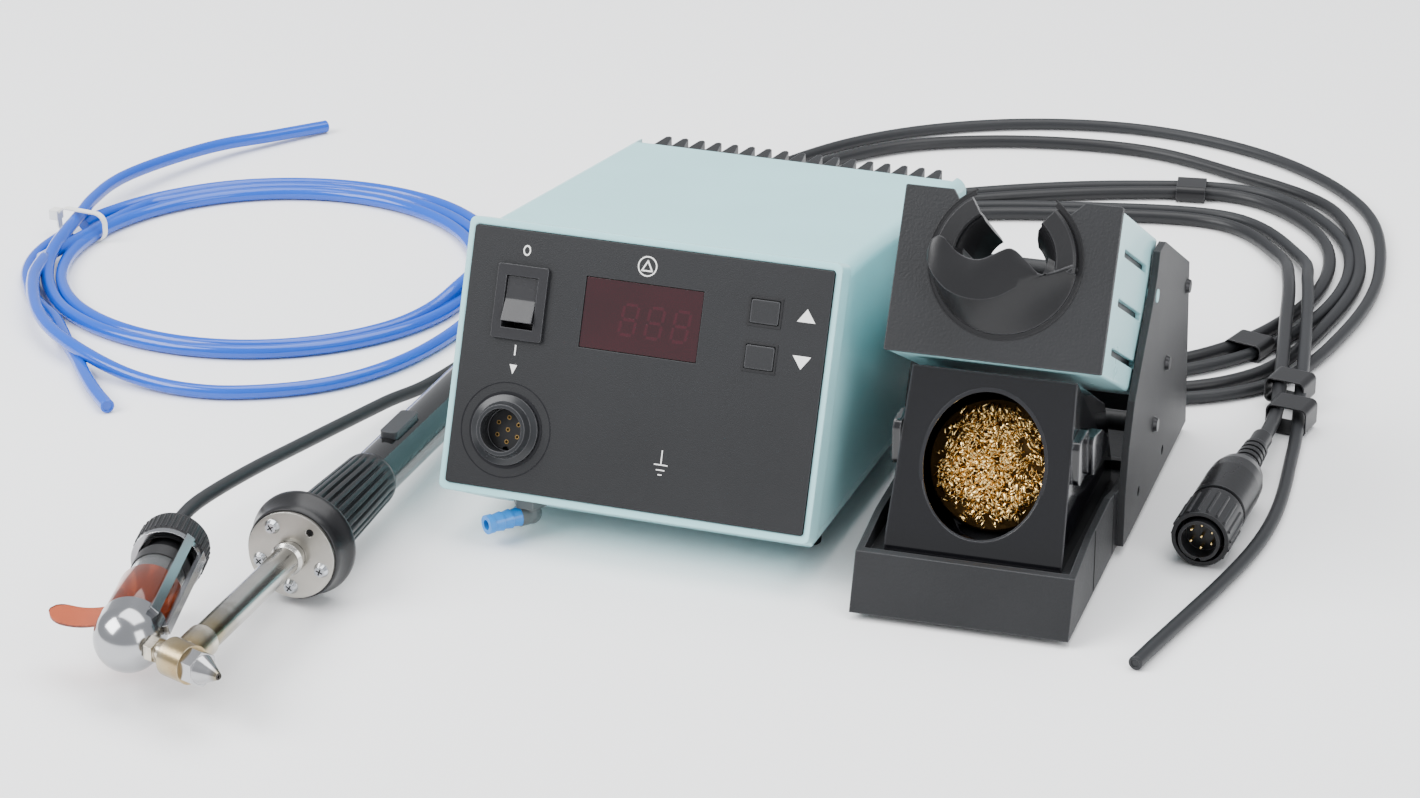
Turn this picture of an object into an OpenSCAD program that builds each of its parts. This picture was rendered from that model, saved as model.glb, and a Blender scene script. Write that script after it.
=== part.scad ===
// Desoldering station: a control unit, a tool stand with a brass wool box, a desoldering iron
// with its cable and vacuum hose, and a coil of compressed air hose. Millimetres, +Z up, the
// front faces -Y, and everything stands on z = 0.

/* [Control unit] */
// Width across the front frame
unit_w = 166; // [150:1:200]
// Height of the front frame, measured along its slope
front_h = 117; // [105:1:145]
// Lean of the front frame back from upright, in degrees
front_lean = 21.4; // [12:0.1:30]
// Depth from the foot of the front frame to the back panel
unit_d = 230; // [190:1:280]
// How far the lid falls from front to back
lid_drop = 23; // [10:1:40]
// Height of the front frame's foot above the table
front_lift = 24; // [20:1:30]
// Wall of the moulded case
case_wall = 2.5; // [2:0.1:3.5]
// Thickness of the front panel
panel_t = 3; // [2:0.1:4]
// Width of the rocker switch's frame
switch_w = 22.8; // [18:0.1:28]
// Height of the rocker switch's frame
switch_h = 31.5; // [26:0.1:38]
// Width of the display window
window_w = 52; // [40:0.5:64]
// Height of the display window
window_h = 29.6; // [24:0.1:36]
// Bore of the round tool socket
socket_bore = 18.4; // [15:0.1:23]
// Bore of the vacuum nipple
nipple_bore = 4.5; // [3:0.1:5.6]
// Number of cooling fins on the back
fin_count = 17; // [9:1:21]

/* [Tool stand] */
// Width of the stand's base
base_w = 92; // [80:1:112]
// Depth of the stand's base
base_d = 230; // [215:1:280]
// Height of the head's front plate
head_h = 69; // [60:1:84]
// Depth of the head
head_d = 88; // [74:1:106]
// Radius of the round tool rest
rest_r = 31; // [26:0.5:33]
// Width of the cleaning box at its foot
box_w = 75; // [60:1:76]

/* [Desoldering iron] */
// Diameter of the handle
handle_d = 22; // [18:0.5:27]
// Length of the handle behind the ribbed grip
handle_l = 145; // [120:1:175]
// Diameter of the hand guard
guard_d = 46; // [40:0.5:46.5]
// Diameter of the heater tube
barrel_d = 12; // [10:0.5:15]
// Length of the heater tube
barrel_l = 105; // [88:1:126]
// Diameter of the glass solder collector
glass_d = 23; // [19:0.5:25]
// Length of the glass solder collector
glass_l = 52; // [44:1:64]

/* [Hoses and cable] */
// Diameter of the iron's cable
cable_d = 6.6; // [5:0.1:7]
// Diameter of the vacuum hose
vacuum_d = 6; // [5:0.1:6.6]
// Diameter of the compressed air hose
air_d = 6.6; // [5:0.1:8]

/* [Hidden] */
$fn = 48;

// Where each item stands on the table
shift = [-9.488, -12.929];
unit_at = [3, -8.6, 0];
stand_at = [154, -19.4, 0];
stand_turn = 2.5;
iron_at = [-111.4, -88.6, guard_d / 2 + 0.5];
iron_turn = 1.7;
iron_fall = 1.7;
coil_at = [-281, 244, 0];

// Front frame, worked in its own plane: x across, y up the slope, z out of the panel
frame_t = 12;
frame_side = 3;
panel_lip = 3.5;
fit = 0.3;
front_sin = sin(front_lean);
front_cos = cos(front_lean);
front_top = front_lift + front_h * front_cos;
socket_x = -unit_w / 2 + 27.5;
socket_y = 28.8;
switch_y = front_h - 34;
window_x = -1.3;
window_y = front_h - 34;
button_x = unit_w / 2 - 30.7;
button_w = 12.4;
button_h = 9.8;
button_ys = [front_h - 43, front_h - 24];
button_travel = 1.2;
boss_r = 15;
socket_rim = 10.8;
socket_out = 7;

// Case
body_w = unit_w - 4;
seam_z = front_lift - 3;
base_z = 8;
lid_front_z = front_top - frame_t * front_sin - 1.5;
lid_rear_z = lid_front_z - lid_drop;
case_round = 6;
bevel = 7;
rear_recess = 8;

// Stand
rim_z = 27;
tray_floor = 22.4;
head_w = base_w - 1;
base_wall = 3;
arm_t = 3.2;
head_lean = 28;
head_foot = [46.5, 101.5];
head_pivot = [143, 99];
box_lean = 24;
box_foot = [22, tray_floor + fit];
box_h = 77.5;
box_wall = 2;
rest_at = 41.5;

// Iron, worked along its own axis: y runs back from the guard plate
nozzle_turn = 23;
dome_r = 14;
dome_reach = 31;
grip_l = 84;
collector_turn = 11;
collector_rise = 5;

module on_unit() { translate([shift[0], shift[1], 0] + unit_at) children(); }
module on_front() { on_unit() translate([0, 0, front_lift]) rotate([90 - front_lean, 0, 0]) children(); }
module on_stand() {
    translate([shift[0], shift[1], 0] + stand_at) rotate([0, 0, stand_turn]) children();
}
module on_head() {
    on_stand() translate([0, head_foot[0], head_foot[1]]) rotate([90 - head_lean, 0, 0]) children();
}
module on_box() {
    on_stand() translate([0, box_foot[0], box_foot[1]]) rotate([90 - box_lean, 0, 0]) children();
}
module on_iron() {
    translate([shift[0], shift[1], 0] + iron_at) rotate([-iron_fall, 0, iron_turn]) children();
}
module on_nozzle() { on_iron() translate([0, -barrel_l, 0]) rotate([0, 0, -nozzle_turn]) children(); }
module on_collector() {
    on_nozzle() translate([-dome_reach, 0, 0]) rotate([0, 0, nozzle_turn + collector_turn])
        rotate([collector_rise, 0, 0]) children();
}
module on_table() { translate([shift[0], shift[1], 0]) children(); }

// A side profile in (y, z), extruded across x and centred
module across(width) { rotate([90, 0, 90]) linear_extrude(width, center = true) children(); }
module plate(w, h, t, r = 0) {
    linear_extrude(t) if (r > 0) rounded(w, h, r); else square([w, h], center = true);
}
module rounded(w, h, r) {
    union() {
        square([w - 2 * r, h], center = true);
        square([w, h - 2 * r], center = true);
        for (x = [-1, 1], y = [-1, 1]) translate([x * (w / 2 - r), y * (h / 2 - r)]) circle(r, $fn = 32);
    }
}
module along_y(l, r) { rotate([-90, 0, 0]) cylinder(h = l, r = r); }
module along_x(l, r) { rotate([0, 90, 0]) cylinder(h = l, r = r); }
module turned_y(points) { rotate([-90, 0, 0]) rotate_extrude() polygon(points); }

// A tube swept along a route
function unit(v) = v / norm(v);
function heading(p, i) = unit(p[min(i + 1, len(p) - 1)] - p[max(i - 1, 0)]);
function ring(p, i, r, sides) = let(t = heading(p, i), s = unit(cross(t, [0, 0, 1])), u = cross(s, t))
    [for (k = [0:sides - 1]) p[i] + r * (cos(360 * k / sides) * s + sin(360 * k / sides) * u)];
module tube(p, d, sides = 8) {
    n = len(p);
    r = d / 2 / cos(180 / sides);
    points = [for (i = [0:n - 1]) each ring(p, i, r, sides)];
    walls = [for (i = [0:n - 2], k = [0:sides - 1]) let(a = i * sides + k, b = i * sides + (k + 1) % sides)
        each [[a, b, b + sides], [a, b + sides, a + sides]]];
    front = [for (k = [sides - 1:-1:0]) k];
    back = [for (k = [0:sides - 1]) (n - 1) * sides + k];
    polyhedron(points, concat([front], walls, [back]), convexity = 10);
}

// ---- Control unit ----
function front_y(z) = (z - front_lift) * front_sin / front_cos + frame_t / front_cos;

// The lid and side walls as one solid, drawn in by a wall
module case_block(inset) {
    r = case_round - min(inset, case_round - 1);
    slope = atan2(lid_drop, unit_d - front_y(lid_front_z));
    intersection() {
        hull() {
            for (s = [-1, 1])
                translate([s * (body_w / 2 - inset - r), front_y(lid_front_z), lid_front_z - inset - r])
                    rotate([-90 - slope, 0, 0]) translate([0, 0, -20]) cylinder(h = unit_d, r = r, $fn = 32);
            across(body_w - 2 * inset) polygon([[0, seam_z - 30], [0, seam_z + 30],
                [unit_d + 5, seam_z + 30], [unit_d + 5, seam_z - 30]]);
        }
        across(body_w + 2) polygon([[front_y(seam_z) - (inset > 0 ? 9 : 0), seam_z - (inset > 0 ? 9 : 0)],
            [front_y(lid_front_z + 9) - (inset > 0 ? 9 : 0), lid_front_z + 9],
            [unit_d, lid_front_z + 9], [unit_d, seam_z - (inset > 0 ? 9 : 0)]]);
    }
}
module upper_housing() {
    color("#a9d2d6") on_unit() difference() {
        case_block(0);
        case_block(case_wall);
        translate([0, unit_d - rear_recess, seam_z - 1])
            linear_extrude(front_top) translate([-body_w / 2 + case_wall + 2, 0])
                square([body_w - 2 * case_wall - 4, rear_recess + 1]);
    }
}
module lower_block(inset) {
    top_w = body_w - 2 * inset;
    hull() {
        translate([0, 0, seam_z - 3 - (inset > 0 ? -4 : 0)]) linear_extrude(3) translate([-top_w / 2, front_y(seam_z) + inset])
            square([top_w, unit_d - front_y(seam_z) - 2 * inset]);
        translate([0, 0, base_z + inset]) linear_extrude(0.5)
            translate([-top_w / 2 + bevel, front_y(seam_z) + 18 + inset])
                square([top_w - 2 * bevel, unit_d - front_y(seam_z) - 24 - 2 * inset]);
    }
}
module lower_housing() {
    color("#bcdcdf") on_unit() difference() {
        lower_block(0);
        lower_block(case_wall);
        elbow_place() translate([0, 0, -6]) cylinder(h = elbow_hex + 4.3 + 6, r = 8.2);
        elbow_place() cylinder(h = 20, r = 4.45);
        screw_places() translate([0, 0, -1]) cylinder(h = 9, r = 1.6);
    }
}
module front_frame() {
    color("#a9d2d6") on_front() translate([0, front_h / 2, 0]) difference() {
        translate([0, 0, -frame_t]) plate(unit_w, front_h, frame_t, 3);
        translate([0, 0, -frame_t - 1]) plate(unit_w - 2 * frame_side - 8, front_h - 16, frame_t + 2, 2);
        translate([-panel_off, 0, 2 - panel_t - 1]) plate(panel_w + 2 * fit, panel_h + 2 * fit, panel_t + 2, 1.5);
    }
}
panel_w = unit_w - 2 * frame_side;
panel_h = front_h - 2 * panel_lip;
panel_off = 0;
module front_panel() {
    color("#303338") on_front() difference() {
        translate([-panel_off, front_h / 2, 0]) union() {
            translate([0, 0, 1 - panel_t]) plate(panel_w, panel_h, panel_t, 1.2);
        }
        translate([switch_x, switch_y, -panel_t]) plate(switch_w - 2, switch_h - 2, 9);
        translate([window_x, window_y, -panel_t]) plate(window_w + 2 * fit, window_h + 2 * fit, 9);
        for (y = button_ys) translate([button_x, y, -panel_t])
            plate(button_w + 2 * fit, button_h + 2 * fit, 9, 0.8);
        translate([socket_x, socket_y, -panel_t]) cylinder(h = 9, r = boss_r - 2);
    }
}
switch_x = socket_x;
module display_window() {
    color("#3a0410") on_front() translate([window_x, window_y, 0.6 - panel_t])
        plate(window_w, window_h, panel_t, 0.4);
}
module display_module() {
    color("#1c1012") on_front() translate([window_x, window_y, -panel_t - 7.4]) difference() {
        plate(window_w - 6, window_h - 4, 7);
        for (i = [-1:1]) translate([i * (window_w - 8) / 3.4, 0, 6]) plate(10, 17, 2);
    }
}
rocker_w = switch_w - 9.2;
rocker_h = switch_h - 10.4;
rocker_deep = 4.5;
rocker_swing = 10;
module rocker_frame() {
    color("#26282b") on_front() translate([switch_x, switch_y, 0]) difference() {
        union() {
            translate([0, 0, 1]) plate(switch_w, switch_h, 1.6, 1);
            translate([0, 0, -16]) plate(switch_w - 2.6, switch_h - 2.6, 18);
        }
        translate([0, 0, -13]) plate(rocker_w + 0.8, rocker_h + 1, 20);
        translate([-rocker_w / 2 - 2, 0, -rocker_deep]) along_x(rocker_w + 4, 1.55);
    }
}
module power_rocker() {
    color("#2c2e31") on_front() translate([switch_x, switch_y, -rocker_deep]) rotate([-rocker_swing, 0, 0]) {
        across(rocker_w) polygon([[-rocker_h / 2 + 0.9, rocker_deep + 3.2], [0, rocker_deep + 1.9],
            [rocker_h / 2 - 0.9, rocker_deep + 3.2], [rocker_h / 2 - 1.4, 2], [4, -5], [-4, -5],
            [-rocker_h / 2 + 1.4, 2]]);
        translate([-rocker_w / 2 - 1.6, 0, 0]) along_x(rocker_w + 3.2, 1.5);
    }
}
module button(y) {
    on_front() translate([button_x, y, 0]) {
        translate([0, 0, -panel_t]) plate(button_w, button_h, panel_t + 1.5, 0.8);
        translate([0, 0, -panel_t - 1]) plate(button_w + 3, button_h + 2, 1, 0.8);
        translate([0, 0, -panel_t - 5]) cylinder(h = 4.2, r = 2);
    }
}
module button_up() { color("#34373a") button(button_ys[1]); }
module button_down() { color("#34373a") button(button_ys[0]); }
module socket_shell() {
    color("#1f2124") on_front() translate([socket_x, socket_y, 0]) rotate_extrude()
        polygon([[socket_bore / 2, -2], [socket_bore / 2, socket_out], [socket_rim, socket_out],
            [socket_rim + 1.4, 3.6], [boss_r, 2.6], [boss_r, 1], [boss_r - 2.4, 1],
            [boss_r - 2.4, -14], [2, -14], [2, -12],
            [socket_bore / 2 - 0.3, -12], [socket_bore / 2 - 0.3, -2]]);
}
module socket_insert() {
    color("#17181a") on_front() translate([socket_x, socket_y, -9]) difference() {
        cylinder(h = 7, r = socket_bore / 2 - 0.6);
        translate([0, 0, 1]) cylinder(h = 9, r = 0.9);
        for (k = [0:5]) rotate(60 * k + 30) translate([5.2, 0, 1]) cylinder(h = 9, r = 0.9);
        translate([0, -socket_bore / 2 + 0.6, 4]) cylinder(h = 9, r = 1.4);
    }
}
module front_board() {
    color("#1d5b3a") on_front() translate([8, front_h / 2 + 8, -panel_t - 13.5]) difference() {
        plate(unit_w - 44, front_h - 40, 1.6);
        translate([socket_x - 8, socket_y - front_h / 2 - 8, -1]) cylinder(h = 4, r = boss_r + 2);
        translate([switch_x - 8, switch_y - front_h / 2 - 8, -1]) plate(switch_w + 2, switch_h + 2, 4);
    }
}
module main_board() {
    color("#1d5b3a") on_unit() translate([unit_w / 4 - 4, unit_d / 2 + 14, base_z + 9]) {
        plate(unit_w / 2 - 22, 118, 1.6);
        for (x = [-1, 1], y = [-1, 1]) translate([x * (unit_w / 4 - 16), y * 52, -6.5])
            cylinder(h = 6.5, r = 2.5);
    }
}
trafo_at = [-unit_w / 4 + 2, unit_d / 2 + 50, base_z + case_wall];
module transformer_core() {
    color("#5a5c60") on_unit() translate(trafo_at) difference() {
        linear_extrude(46) square([60, 50], center = true);
        translate([0, 0, 9]) rotate([90, 0, 0]) translate([0, 0, -26]) linear_extrude(52)
            union() {
                translate([-20, 0]) square([10, 28]);
                translate([10, 0]) square([10, 28]);
            }
    }
}
module transformer_coil() {
    color("#8a3b1f") on_unit() translate(trafo_at + [0, 0, 9.2]) for (s = [-1, 1])
        translate([s * 15, 0, 0]) linear_extrude(27.6) square([9.4, 64], center = true);
}
module vacuum_ejector() {
    color("#b9bcc0") on_unit() translate([socket_x + 15, 62, base_z + case_wall]) {
        linear_extrude(22) square([22, 46], center = true);
        translate([0, 23, 11]) along_y(10, 4);
        translate([-4, -10, 22]) cylinder(h = 6, r = 3);
    }
}
module solenoid_valve() {
    color("#3a3d42") on_unit() translate([socket_x + 10, 118, base_z + case_wall]) {
        linear_extrude(14) square([20, 30], center = true);
        translate([0, 0, 14]) cylinder(h = 24, r = 9);
    }
}
elbow_x = -unit_w / 2 + 35;
elbow_y = front_y(seam_z) + 5.8;
elbow_z = 10;
elbow_hex = 4.6;
nipple_turn = 37;
module elbow_place() { translate([elbow_x, elbow_y, elbow_z]) children(); }
module vacuum_elbow() {
    color("#585f60") on_unit() elbow_place() difference() {
        union() {
            sphere(r = 4.8);
            cylinder(h = 13, r = 4.4);
            translate([0, 0, elbow_hex]) cylinder(h = 4, r = 7.6, $fn = 6);
            rotate([0, 0, -nipple_turn]) rotate([90, 0, 0]) cylinder(h = 6, r = 4.6);
        }
        rotate([0, 0, -nipple_turn]) rotate([90, 0, 0]) cylinder(h = 9, r = nipple_bore / 2 + 0.9);
        cylinder(h = 20, r = nipple_bore / 2);
    }
}
module vacuum_nipple() {
    color("#3d8fd6") on_unit() elbow_place() rotate([0, 0, -nipple_turn]) rotate([90, 0, 0]) difference() {
        union() {
            translate([0, 0, 2]) cylinder(h = 4.1, r = nipple_bore / 2 + 0.9);
            for (i = [0:2]) translate([0, 0, 6 + 4.4 * i]) cylinder(h = 4.4, r1 = 4.3, r2 = 3.6);
            translate([0, 0, 19.2]) cylinder(h = 2.8, r = 4.2);
        }
        cylinder(h = 30, r = nipple_bore / 2);
    }
}
fin_pitch = (body_w - 22) / fin_count;
module heat_sink() {
    color("#2a2b2d") on_unit() translate([0, unit_d - rear_recess, 0]) {
        translate([-body_w / 2 + case_wall + 2.3, 0, sink_foot])
            linear_extrude(sink_top - sink_foot) square([body_w - 2 * case_wall - 4.6, 3]);
        for (i = [0:fin_count - 1]) translate([(i - (fin_count - 1) / 2) * fin_pitch, 3, sink_foot])
            linear_extrude(sink_top - sink_foot) polygon([[-fin_pitch * 0.42, 0], [-1.4, 12.4],
                [0, 13.4], [1.4, 12.4], [fin_pitch * 0.42, 0]]);
    }
}
sink_foot = seam_z + 32;
sink_top = lid_rear_z - 0.5;
module rear_panel() {
    color("#3a3c3f") on_unit() difference() {
        translate([0, unit_d - rear_recess, seam_z + 0.5]) linear_extrude(31.2)
            translate([-body_w / 2 + case_wall + 2.3, 0]) square([body_w - 2 * case_wall - 4.6, 2.5]);
        rear_item(inlet_x) translate([0, 0, -1]) plate(27.4, 20.4, 9);
        rear_item(air_x) translate([0, 0, -1]) cylinder(h = 9, r = 5.2);
        rear_item(jack_x) translate([0, 0, -1]) cylinder(h = 9, r = 4.2);
    }
}
inlet_x = -44;
air_x = 20;
jack_x = 42;
module rear_item(x) {
    translate([x, unit_d - rear_recess, seam_z + 16]) rotate([-90, 0, 0]) children();
}
module mains_inlet() {
    color("#202225") on_unit() rear_item(inlet_x) difference() {
        union() {
            translate([0, 0, -14]) plate(27, 20, 16.5);
            translate([0, 0, 2.5]) plate(31, 24, 2, 2);
        }
        translate([0, 0, -11]) difference() {
            plate(23.4, 16, 20);
            for (x = [-7, 0, 7]) translate([x, 0, 0]) plate(2, 4.4, 11);
        }
    }
}
module air_inlet() {
    color("#8c9094") on_unit() rear_item(air_x) difference() {
        union() {
            translate([0, 0, -12]) cylinder(h = 16, r = 5);
            translate([0, 0, 2.5]) cylinder(h = 9, r = 6.8);
        }
        translate([0, 0, -6]) cylinder(h = 20, r = air_d / 2 + 0.05);
        translate([0, 0, -13]) cylinder(h = 20, r = 1.8);
    }
}
module earth_jack() {
    color("#c8a13a") on_unit() rear_item(jack_x) difference() {
        union() {
            translate([0, 0, -9]) cylinder(h = 13, r = 4);
            translate([0, 0, 2.5]) cylinder(h = 3.5, r = 6);
        }
        translate([0, 0, -8]) cylinder(h = 20, r = 2);
    }
}
module screw_places() {
    for (x = [-1, 1], y = [48, unit_d - 34]) translate([x * (body_w / 2 - 26), y, base_z]) children();
}
module case_screws() {
    color("#a5a8ab") on_unit() screw_places() {
        translate([0, 0, -2]) cylinder(h = 2, r = 3);
        cylinder(h = 9, r = 1.5);
    }
}
module unit_feet() {
    color("#1b1c1e") on_unit() for (x = [-1, 1], y = [52, unit_d - 24])
        translate([x * (body_w / 2 - 16), y, 0]) {
            cylinder(h = base_z - 1, r1 = 6.4, r2 = 7);
            translate([0, 0, base_z - 1]) cylinder(h = 1, r = 7);
        }
}

// ---- Tool stand ----
module stand_base() {
    color("#2c2d2f") on_stand() difference() {
        across(base_w) polygon([[0, 3], [9, rim_z], [40, rim_z + 5], [76, rim_z + 6], [90, rim_z + 3],
            [base_d - 3, rim_z - 8], [base_d, 3]]);
        across(base_w - 2 * base_wall) polygon([[9 + base_wall, tray_floor], [9 + base_wall, rim_z + 19],
            [128, rim_z + 19], [128, tray_floor]]);
        across(base_w - 2 * base_wall) polygon([[132, 6], [132, rim_z + 19],
            [base_d - 3 - base_wall, rim_z + 19], [base_d - 3 - base_wall, 6]]);
        translate([0, 0, 2]) linear_extrude(tray_floor - 2 - base_wall) translate([-base_w / 2 + 4, 12])
            square([base_w - 8, 112]);
    }
}
module arm_profile() {
    polygon([[92, 4], [92, rim_z], [96, 48], [104, 66], [118, 81], [134, 97], [142, 108],
        [146, 118], [158, 118], [base_d - 12, 86], [base_d - 1, 4]]);
}
arm_holes = [[172, 56], [214, 76], [150, 36]];
module side_arm(side) {
    on_stand() difference() {
        translate([side * (base_w / 2 + arm_t / 2), 0, 0]) across(arm_t) arm_profile();
        translate([side * (base_w / 2 - 1), head_pivot[0], head_pivot[1]]) rotate([0, side * 90, 0])
            cylinder(h = 9, r = 3.1);
        for (p = arm_holes) translate([side * (base_w / 2 - 1), p[0], p[1]]) rotate([0, side * 90, 0])
            cylinder(h = 9, r = 2.1);
        for (p = [[173, 14], [121, 17]]) translate([side * (base_w / 2 - 1), p[0], p[1]])
            rotate([0, side * 90, 0]) cylinder(h = 9, r = 2.4);
    }
}
module side_arm_left() { color("#2b2c2e") side_arm(-1); }
module side_arm_right() { color("#2b2c2e") side_arm(1); }
module cross_bars() {
    color("#1f2022") on_stand() for (p = arm_holes) translate([-base_w / 2, p[0], p[1]]) difference() {
        along_x(base_w, 4.5);
        translate([-1, 0, 0]) along_x(13, 1.6);
        translate([base_w - 12, 0, 0]) along_x(13, 1.6);
    }
}
module arm_screws() {
    color("#9a9da0") on_stand() for (s = [-1, 1], p = arm_holes)
        translate([s * (base_w / 2 + arm_t), p[0], p[1]]) rotate([0, s * 90, 0]) {
            cylinder(h = 1.8, r1 = 3.6, r2 = 2.8);
            translate([0, 0, -arm_t - 9]) cylinder(h = arm_t + 9, r = 1.6);
        }
}
module stand_feet() {
    color("#17181a") on_stand() for (x = [-1, 1], y = [14, base_d - 16])
        translate([x * (base_w / 2 - 15), y, 0]) cylinder(h = 3, r = 8);
}
cheek_t = 2.4;
module head_block() {
    color("#a9d2d6") on_head() difference() {
        translate([0, head_h / 2 - 0.5, -3 - head_d]) plate(head_w - 1, head_h - 1, head_d, 1.5);
        translate([0, head_h / 2 + 3, -head_d - 5]) linear_extrude(head_d + 10)
            square([head_w - 1 - 2 * cheek_t, head_h - 1], center = true);
        for (y = [11.5, 32, 52.5]) translate([0, y, -48]) rotate([0, 90, 0])
            linear_extrude(head_w + 9, center = true) rounded(58, 3.4, 1.2);
        translate([-head_w, head_axle[0], head_axle[1]]) along_x(2 * head_w, 2.9);
    }
    color("#8d9092") on_head() for (s = [-1, 1]) translate([s * (head_w / 2 - 0.5 - cheek_t), head_axle[0], head_axle[1]])
        rotate([0, s * 90, 0]) cylinder(h = cheek_t + arm_t + 1.4, r = 2.9);
}
// The tilt axle in the head's own plane
head_axle = [(head_pivot[0] - head_foot[0]) * sin(head_lean) + (head_pivot[1] - head_foot[1]) * cos(head_lean),
    -(head_pivot[0] - head_foot[0]) * cos(head_lean) + (head_pivot[1] - head_foot[1]) * sin(head_lean)];
module head_plate() {
    color("#28292b") on_head() difference() {
        translate([0, head_h / 2, -3]) plate(head_w, head_h, 3, 0.8);
        translate([0, rest_at, -5]) cylinder(h = 9, r = rest_r - 5);
        translate([0, 0, -5]) linear_extrude(9) polygon([[-12, rest_at + 8], [-26, head_h + 1],
            [31, head_h + 1], [16, rest_at + 14]]);
    }
}
// Two horns round the top, and a scoop below that is higher at its left
scoop_h = 11.5;
scoop_slope = 11;
channel_r = 15;
channel_tilt = 16;
module tool_rest() {
    color("#1e1f21") on_head() translate([0, rest_at, 0]) difference() {
        union() {
            cylinder(h = 3.8, r = rest_r - 1);
            translate([0, 0, -26]) cylinder(h = 26.5, r1 = rest_r - 11, r2 = rest_r - 5.4);
            cylinder(h = 20, r1 = rest_r - 1.6, r2 = rest_r - 3.6);
        }
        translate([-60, 3, 3.8]) cube([120, 60, 30]);
        translate([0, 0, scoop_h]) rotate([0, scoop_slope, 0]) translate([-60, -60, 0]) cube(120);
        translate([0, 0, -27]) cylinder(h = 28, r1 = 12, r2 = 17.5);
        difference() {
            translate([0, 0, -0.5]) cylinder(h = 9, r = rest_r - 10);
            translate([-60, -60, -2]) cube([120, 63, 20]);
        }
        translate([0, 9.5, 0]) rotate([-channel_tilt, 0, 0])
            translate([0, 0, -26]) cylinder(h = 60, r = channel_r);
        rotate(92) translate([0, 0, -30]) linear_extrude(50)
            polygon([[0, 0], [60 * cos(40), -60 * sin(40)], [60, 0], [60 * cos(40), 60 * sin(40)]]);
    }
}
box_tw = box_w - 5.5;
module box_block(inset, up = 0) {
    rotate([-(90 - box_lean), 0, 0]) translate([0, 0, -box_foot[1]]) hull() {
        translate([0, -box_foot[0], 0]) across(box_w - 2 * inset) polygon([[box_foot[0] + inset, box_foot[1] + inset],
            [box_foot[0] + inset + 3, box_foot[1] + 8], [118 - inset, box_foot[1] + 8],
            [118 - inset, box_foot[1] + inset]]);
        translate([0, -box_foot[0], 0]) across(box_tw - 2 * inset) polygon([
            [box_foot[0] + (box_h - 6) * sin(box_lean) + inset, box_foot[1] + (box_h - 6) * cos(box_lean) - inset],
            [box_foot[0] + box_h * sin(box_lean) + inset * 0.6, box_foot[1] + box_h * cos(box_lean) - inset],
            [112 - inset, 60 - inset], [118 - inset, 40]]);
    }
}
module cleaning_box() {
    color("#101113") on_box() difference() {
        union() {
            box_block(0);
            for (s = [-1, 1]) rotate([-(90 - box_lean), 0, 0]) translate([s * (box_w / 2 + 1.8), 0, 0])
                translate([0, -box_foot[0], 0]) {
                    across(5) offset(r = 3) polygon([[60, 31], [58, 43], [72, 40], [84, 32]]);
                    translate([-s * 1.6, 0, 0]) across(3.4) offset(r = 4)
                        polygon([[44, 34], [44, 46], [54, 46], [58, 34]]);
                }
        }
        box_block(box_wall);
        translate([0, 39.3, -30]) linear_extrude(60) resize([51.4, 62]) circle(26);
    }
}
module brass_wool() {
    color("#c9a24a") on_box() translate([0, 40, 0]) rotate_extrude()
        polygon([[0, -27], [24, -27], [29, -21], [27, -14], [18, -10], [0, -8.6]]);
}

// ---- Desoldering iron ----
module nozzle() {
    color("#c3c6cb") on_nozzle() rotate([0, 90, 0]) difference() {
        union() {
            translate([0, 0, 6]) cylinder(h = 6, r = 7.4, $fn = 6);
            translate([0, 0, 12]) cylinder(h = 9, r1 = 6, r2 = 1.5);
            translate([0, 0, 3]) cylinder(h = 3, r = 4);
        }
        cylinder(h = 30, r = 0.75);
    }
}
module heater_head() {
    color("#b7ad98") on_nozzle() difference() {
        union() {
            rotate([0, 90, 0]) translate([0, 0, -6]) cylinder(h = 12, r = 8);
            translate([-dome_reach + dome_r - 2, 0, 0]) along_x(dome_reach - dome_r - 3, 4);
            translate([-dome_reach + dome_r + 0.1, 0, 0]) rotate([0, 90, 0]) cylinder(h = 4.5, r = 5.6, $fn = 6);
            rotate([0, 0, nozzle_turn]) translate([0, 4, 0]) along_y(15, barrel_d / 2 + 1);
        }
        rotate([0, 0, nozzle_turn]) translate([0, 9, 0]) along_y(15, barrel_d / 2 + 0.01);
        translate([2.9, 0, 0]) along_x(9, 4.01);
    }
}
module heater_tube() {
    color("#aeb0b0") on_iron() translate([0, -barrel_l + 9, 0]) turned_y([[0, 0], [barrel_d / 2, 0],
        [barrel_d / 2, barrel_l - 15], [barrel_d / 2 + 1.2, barrel_l - 13.5], [barrel_d / 2 + 1.2, barrel_l - 12],
        [barrel_d / 2 + 0.4, barrel_l - 11.5], [barrel_d / 2 + 0.4, barrel_l - 9], [0, barrel_l - 9]]);
}
module plate_holes(depth, r, list = [0:4]) {
    for (k = list) rotate([0, 72 * k + 20, 0]) translate([14.2, -1, 0]) along_y(depth, r);
}
module guard_plate() {
    color("#c9c4bb") on_iron() difference() {
        along_y(1.6, 19);
        translate([0, -1, 0]) along_y(5, barrel_d / 2 + 0.5);
        plate_holes(5, 1.75);
    }
}
module guard_screws() {
    color("#d4d8dd") on_iron() for (k = [0, 1, 2, 3]) rotate([0, 72 * k + 20, 0]) translate([14.2, 0, 0]) {
        translate([0, -2.2, 0]) rotate([-90, 0, 0]) cylinder(h = 2.2, r1 = 2.2, r2 = 3.3);
        along_y(9, 1.7);
    }
}
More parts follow.
